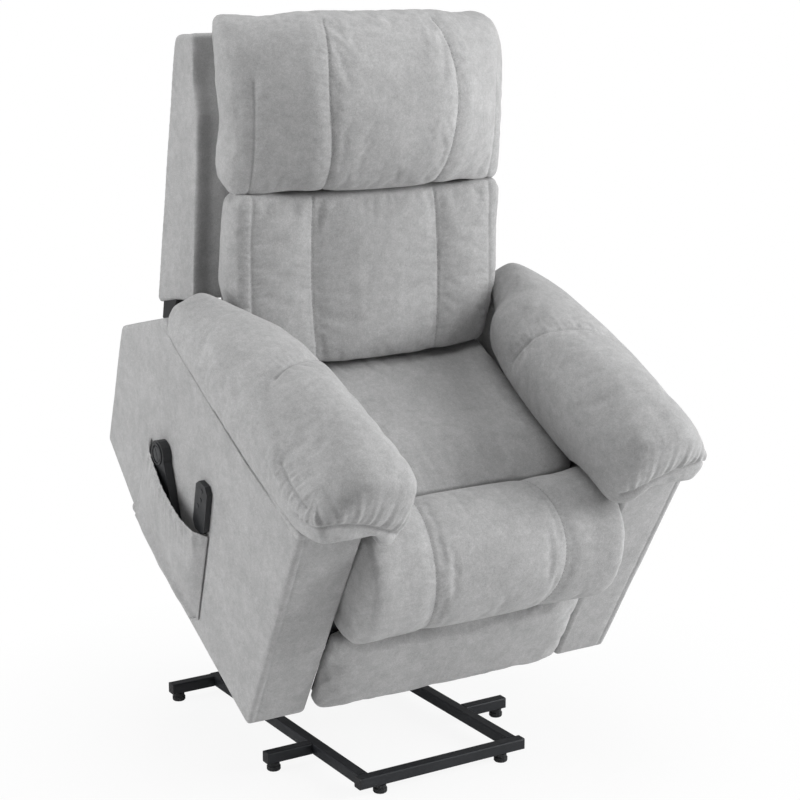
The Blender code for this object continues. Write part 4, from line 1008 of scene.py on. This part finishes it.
def pocket_face():
    """The pocket's outer face without folds: rows of points from its foot to its open edge."""
    tree = chair_tree(["pocket"])
    rows, columns = POCKET_GRID
    (front_foot, rear_foot), (front_top, rear_top) = POCKET_SEAMS
    spots = np.zeros((rows, columns, 3))
    for j in range(rows):
        t = j / (rows - 1)
        seam_front = Vector(front_foot).lerp(Vector(front_top), t)
        seam_rear = Vector(rear_foot).lerp(Vector(rear_top), t)
        for i in range(columns):
            s = i / (columns - 1)
            back, up = seam_front.lerp(seam_rear, s)
            up -= POCKET_SAG * math.sin(math.pi * s) * t
            hit, _, _, _ = tree.ray_cast(Vector((OUTSIDE, back, up)), Vector((1, 0, 0)))
            if hit is None:
                hit = tree.find_nearest(Vector((POCKET_AIM, back, up)))[0]
            spots[j, i] = (hit.x, back, up)
    x = spots[:, :, 0]
    for _ in range(POCKET_EASING):
        x[1:-1, 1:-1] += 0.5 * (around(x) - x[1:-1, 1:-1])
        x[-1, 1:-1] = x[-2, 1:-1]
    x[:, -1] = np.minimum(x[:, -1], x[:, -2] + POCKET_STEP)
    return spots


def push_out(spots):
    """Carries the cloth over what it holds, and eases it back from there."""
    held = chair_tree(["lift_handset", "massage_remote"])
    rows, columns = POCKET_GRID
    x = spots[:, :, 0]
    pushed = np.zeros_like(x)
    for j in range(rows):
        for i in range(columns):
            hit, _, _, _ = held.ray_cast(Vector((OUTSIDE, *spots[j, i, 1:])), Vector((1, 0, 0)))
            if hit is not None:
                pushed[j, i] = min(0, hit.x - POCKET_CLEAR - x[j, i])
    out = pushed.copy()
    for _ in range(POCKET_EASING):
        out[1:-1, 1:-1] = np.minimum(pushed[1:-1, 1:-1], around(out))
        out[-1, 1:-1] = np.minimum(pushed[-1, 1:-1], out[-2, 1:-1])
    x += out


def gather(spots):
    """Folds below the elastic edge, the line of the hem, and a little slack further down."""
    hem_down, hem_width, hem_depth = POCKET_HEM
    slack_size, slack_depth = POCKET_SLACK
    share = np.linspace(0, 1, spots.shape[1])
    sides = np.clip(np.minimum(share, 1 - share) / 0.06, 0, 1)
    for row in spots:
        down = spots[-1, :, 2] - row[:, 2]
        gathered = np.exp(-down / POCKET_GATHER) * (0.2 + 0.8 * ease(down, 0.0, POCKET_ELASTIC))
        folds = ripple(share * POCKET_WIDTH + 0.1 * down, POCKET_PITCH, 0.8) + 0.9
        row[:, 0] -= POCKET_FOLD * gathered * sides * folds
        row[:, 0] += hem_depth * np.exp(-((down - hem_down) / hem_width) ** 2) * sides
        soft = np.array([noise.noise(Vector((0, p[1], p[2])) / slack_size) for p in row])
        row[:, 0] += slack_depth * sides * (soft + 0.4)


def storage_pocket():
    """The cloth pocket on the sitter's right, gathered on elastic along its open top edge."""
    spots = pocket_face()
    push_out(spots)
    gather(spots)
    work = bmesh.new()
    grid = [[work.verts.new(p) for p in row] for row in spots]
    for a, b in zip(grid, grid[1:]):
        for k in range(len(a) - 1):
            work.faces.new((a[k], b[k], b[k + 1], a[k + 1]))
    bmesh.ops.recalc_face_normals(work, faces=work.faces)
    made = mesh_object("pocket_cloth", work)
    wall = made.modifiers.new("cloth", "SOLIDIFY")
    wall.thickness = POCKET_CLOTH
    wall.offset = -1 if made.data.polygons[0].normal.x < 0 else 1
    settled(made)
    smooth_shaded(made)
    made.data.materials.append(SUEDE)
    placed(made)
    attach(made, "chassis")
    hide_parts("pocket")


def back_tabs():
    """Moulded tabs under the outer back, near its sides."""
    for side, name in SIDES:
        work = bmesh.new()
        ends = [[work.verts.new((side * x, back, up)) for back, up in TAB_OUTLINE] for x in TAB_SIDES]
        work.faces.new(ends[0])
        work.faces.new(ends[1][::-1])
        for k in range(len(TAB_OUTLINE)):
            n = (k + 1) % len(TAB_OUTLINE)
            work.faces.new((ends[0][k], ends[0][n], ends[1][n], ends[1][k]))
        bmesh.ops.recalc_face_normals(work, faces=work.faces)
        bmesh.ops.bevel(work, geom=work.edges[:], offset=TAB_ROUND, segments=2, affect="EDGES")
        made = mesh_object("back_tab_" + name, work)
        placed(made)
        made.data.materials.append(CAP)
        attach(made, "back")


def end_cap(name, middle, axis, sign):
    """A moulded cap pushed into the end of a base tube: a chamfered plate with a plug behind it.

    The tube lies along axis 0 or 1, and sign says which of its ends this is.
    """
    work = bmesh.new()
    half = CAP_SIDE / 2
    steps = ((-CAP_PLUG, half - CAP_WALL), (0.0, half - CAP_WALL), (0.0, half),
             (CAP_FACE - CAP_CHAMFER[0], half), (CAP_FACE, half - CAP_CHAMFER[1]))
    rings = []
    for out, size in steps:
        ring = []
        for corner in range(4):
            for k in range(CAP_CORNER):
                a = math.pi / 2 * (corner + k / (CAP_CORNER - 1))
                u = (size - CAP_ROUND) * (1 if corner in (0, 3) else -1) + CAP_ROUND * math.cos(a)
                v = (size - CAP_ROUND) * (1 if corner in (0, 1) else -1) + CAP_ROUND * math.sin(a)
                spot = Vector((out * sign, u, v)) if axis == 0 else Vector((u, out * sign, v))
                ring.append(work.verts.new(spot + middle))
        rings.append(ring)
    for a, b in zip(rings, rings[1:]):
        for k in range(len(a)):
            n = (k + 1) % len(a)
            work.faces.new((a[k], a[n], b[n], b[k]))
    work.faces.new(rings[0][::-1])
    work.faces.new(rings[-1])
    bmesh.ops.recalc_face_normals(work, faces=work.faces)
    made = mesh_object(name, work, Matrix.Identity(4))
    made.data.materials.append(CAP)
    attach(made, "base")


def end_caps():
    """Caps in the open ends of the crossbar, the outriggers and the rear of the side rails."""
    tubes = []
    for _, name in SIDES:
        tubes += [("middle_outrigger_" + name, 0, None), ("rear_outrigger_" + name, 0, None)]
        tubes.append(("side_rail_" + name, 1, 1))
    tubes += [("front_crossbar", 0, -1), ("front_crossbar", 0, 1)]
    for node, axis, sign in tubes:
        lo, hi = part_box(node)
        middle = (lo + hi) / 2
        if sign is None:
            sign = 1 if middle.x > 0 else -1
        middle[axis] = hi[axis] if sign > 0 else lo[axis]
        end_cap("cap_%s_%s" % (node, "rear" if axis == 1 else ("right", "left")[sign > 0]),
                middle, axis, sign)


def run_cloth(made):
    """All covers settle in the same few frames."""
    for one in made:
        one.add_cloth()
    scene = bpy.context.scene
    for k in range(1, CLOTH_FRAMES + 1):
        scene.frame_set(k)
    for one in made:
        one.after_cloth()
    scene.frame_set(1)


def dress(one, hard):
    """Sews a cushion's cover and hands it to the frame, with its stitching."""
    finer(one.obj)
    sew(one.obj, one.seams)
    one.keep_in(chair_tree([n for n in SOFT_NODES if n != one.node]), hard)
    if any(seam.stitches for seam in one.seams):
        threads = stitching(one.name + "_stitching", one.seams, one.obj)
        threads.data.materials.append(THREAD_CLOTH)
        placed(threads)
        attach(threads, one.body)
    one.finish()


studio()
camera()

soft = [head_cushion(), lumbar_cushion(), seat_pad(), front_bolster(), foot_cushion()]
soft += [arm_cushion(side, name) for side, name in SIDES]
run_cloth(soft)
hard = chair_tree([node for node in CAD_NODES if node not in SOFT_NODES + ("pocket",)])
for one in soft:
    dress(one, hard)
for side, name in SIDES:
    side_panel(side, name).finish(padded=False)
back_panel().finish(padded=False)
# The core's dark grey lining is painted shade for the recess behind the pads.
upholstered("back_lining", "back_core", [], shape=core_shape).finish(LINING_DARKENED_AS_SHADE, False, "lining_cloth")
storage_pocket()
back_tabs()
end_caps()

# The rigid pieces keep their CAD meshes
for entry in frame["record"]["subparts"]:
    data = CAD_NODES[entry["node"]].data
    data.materials.clear()
    data.materials.append(FINISH[entry["material_slot"]])

bpy.context.scene.view_settings.view_transform = "Standard"
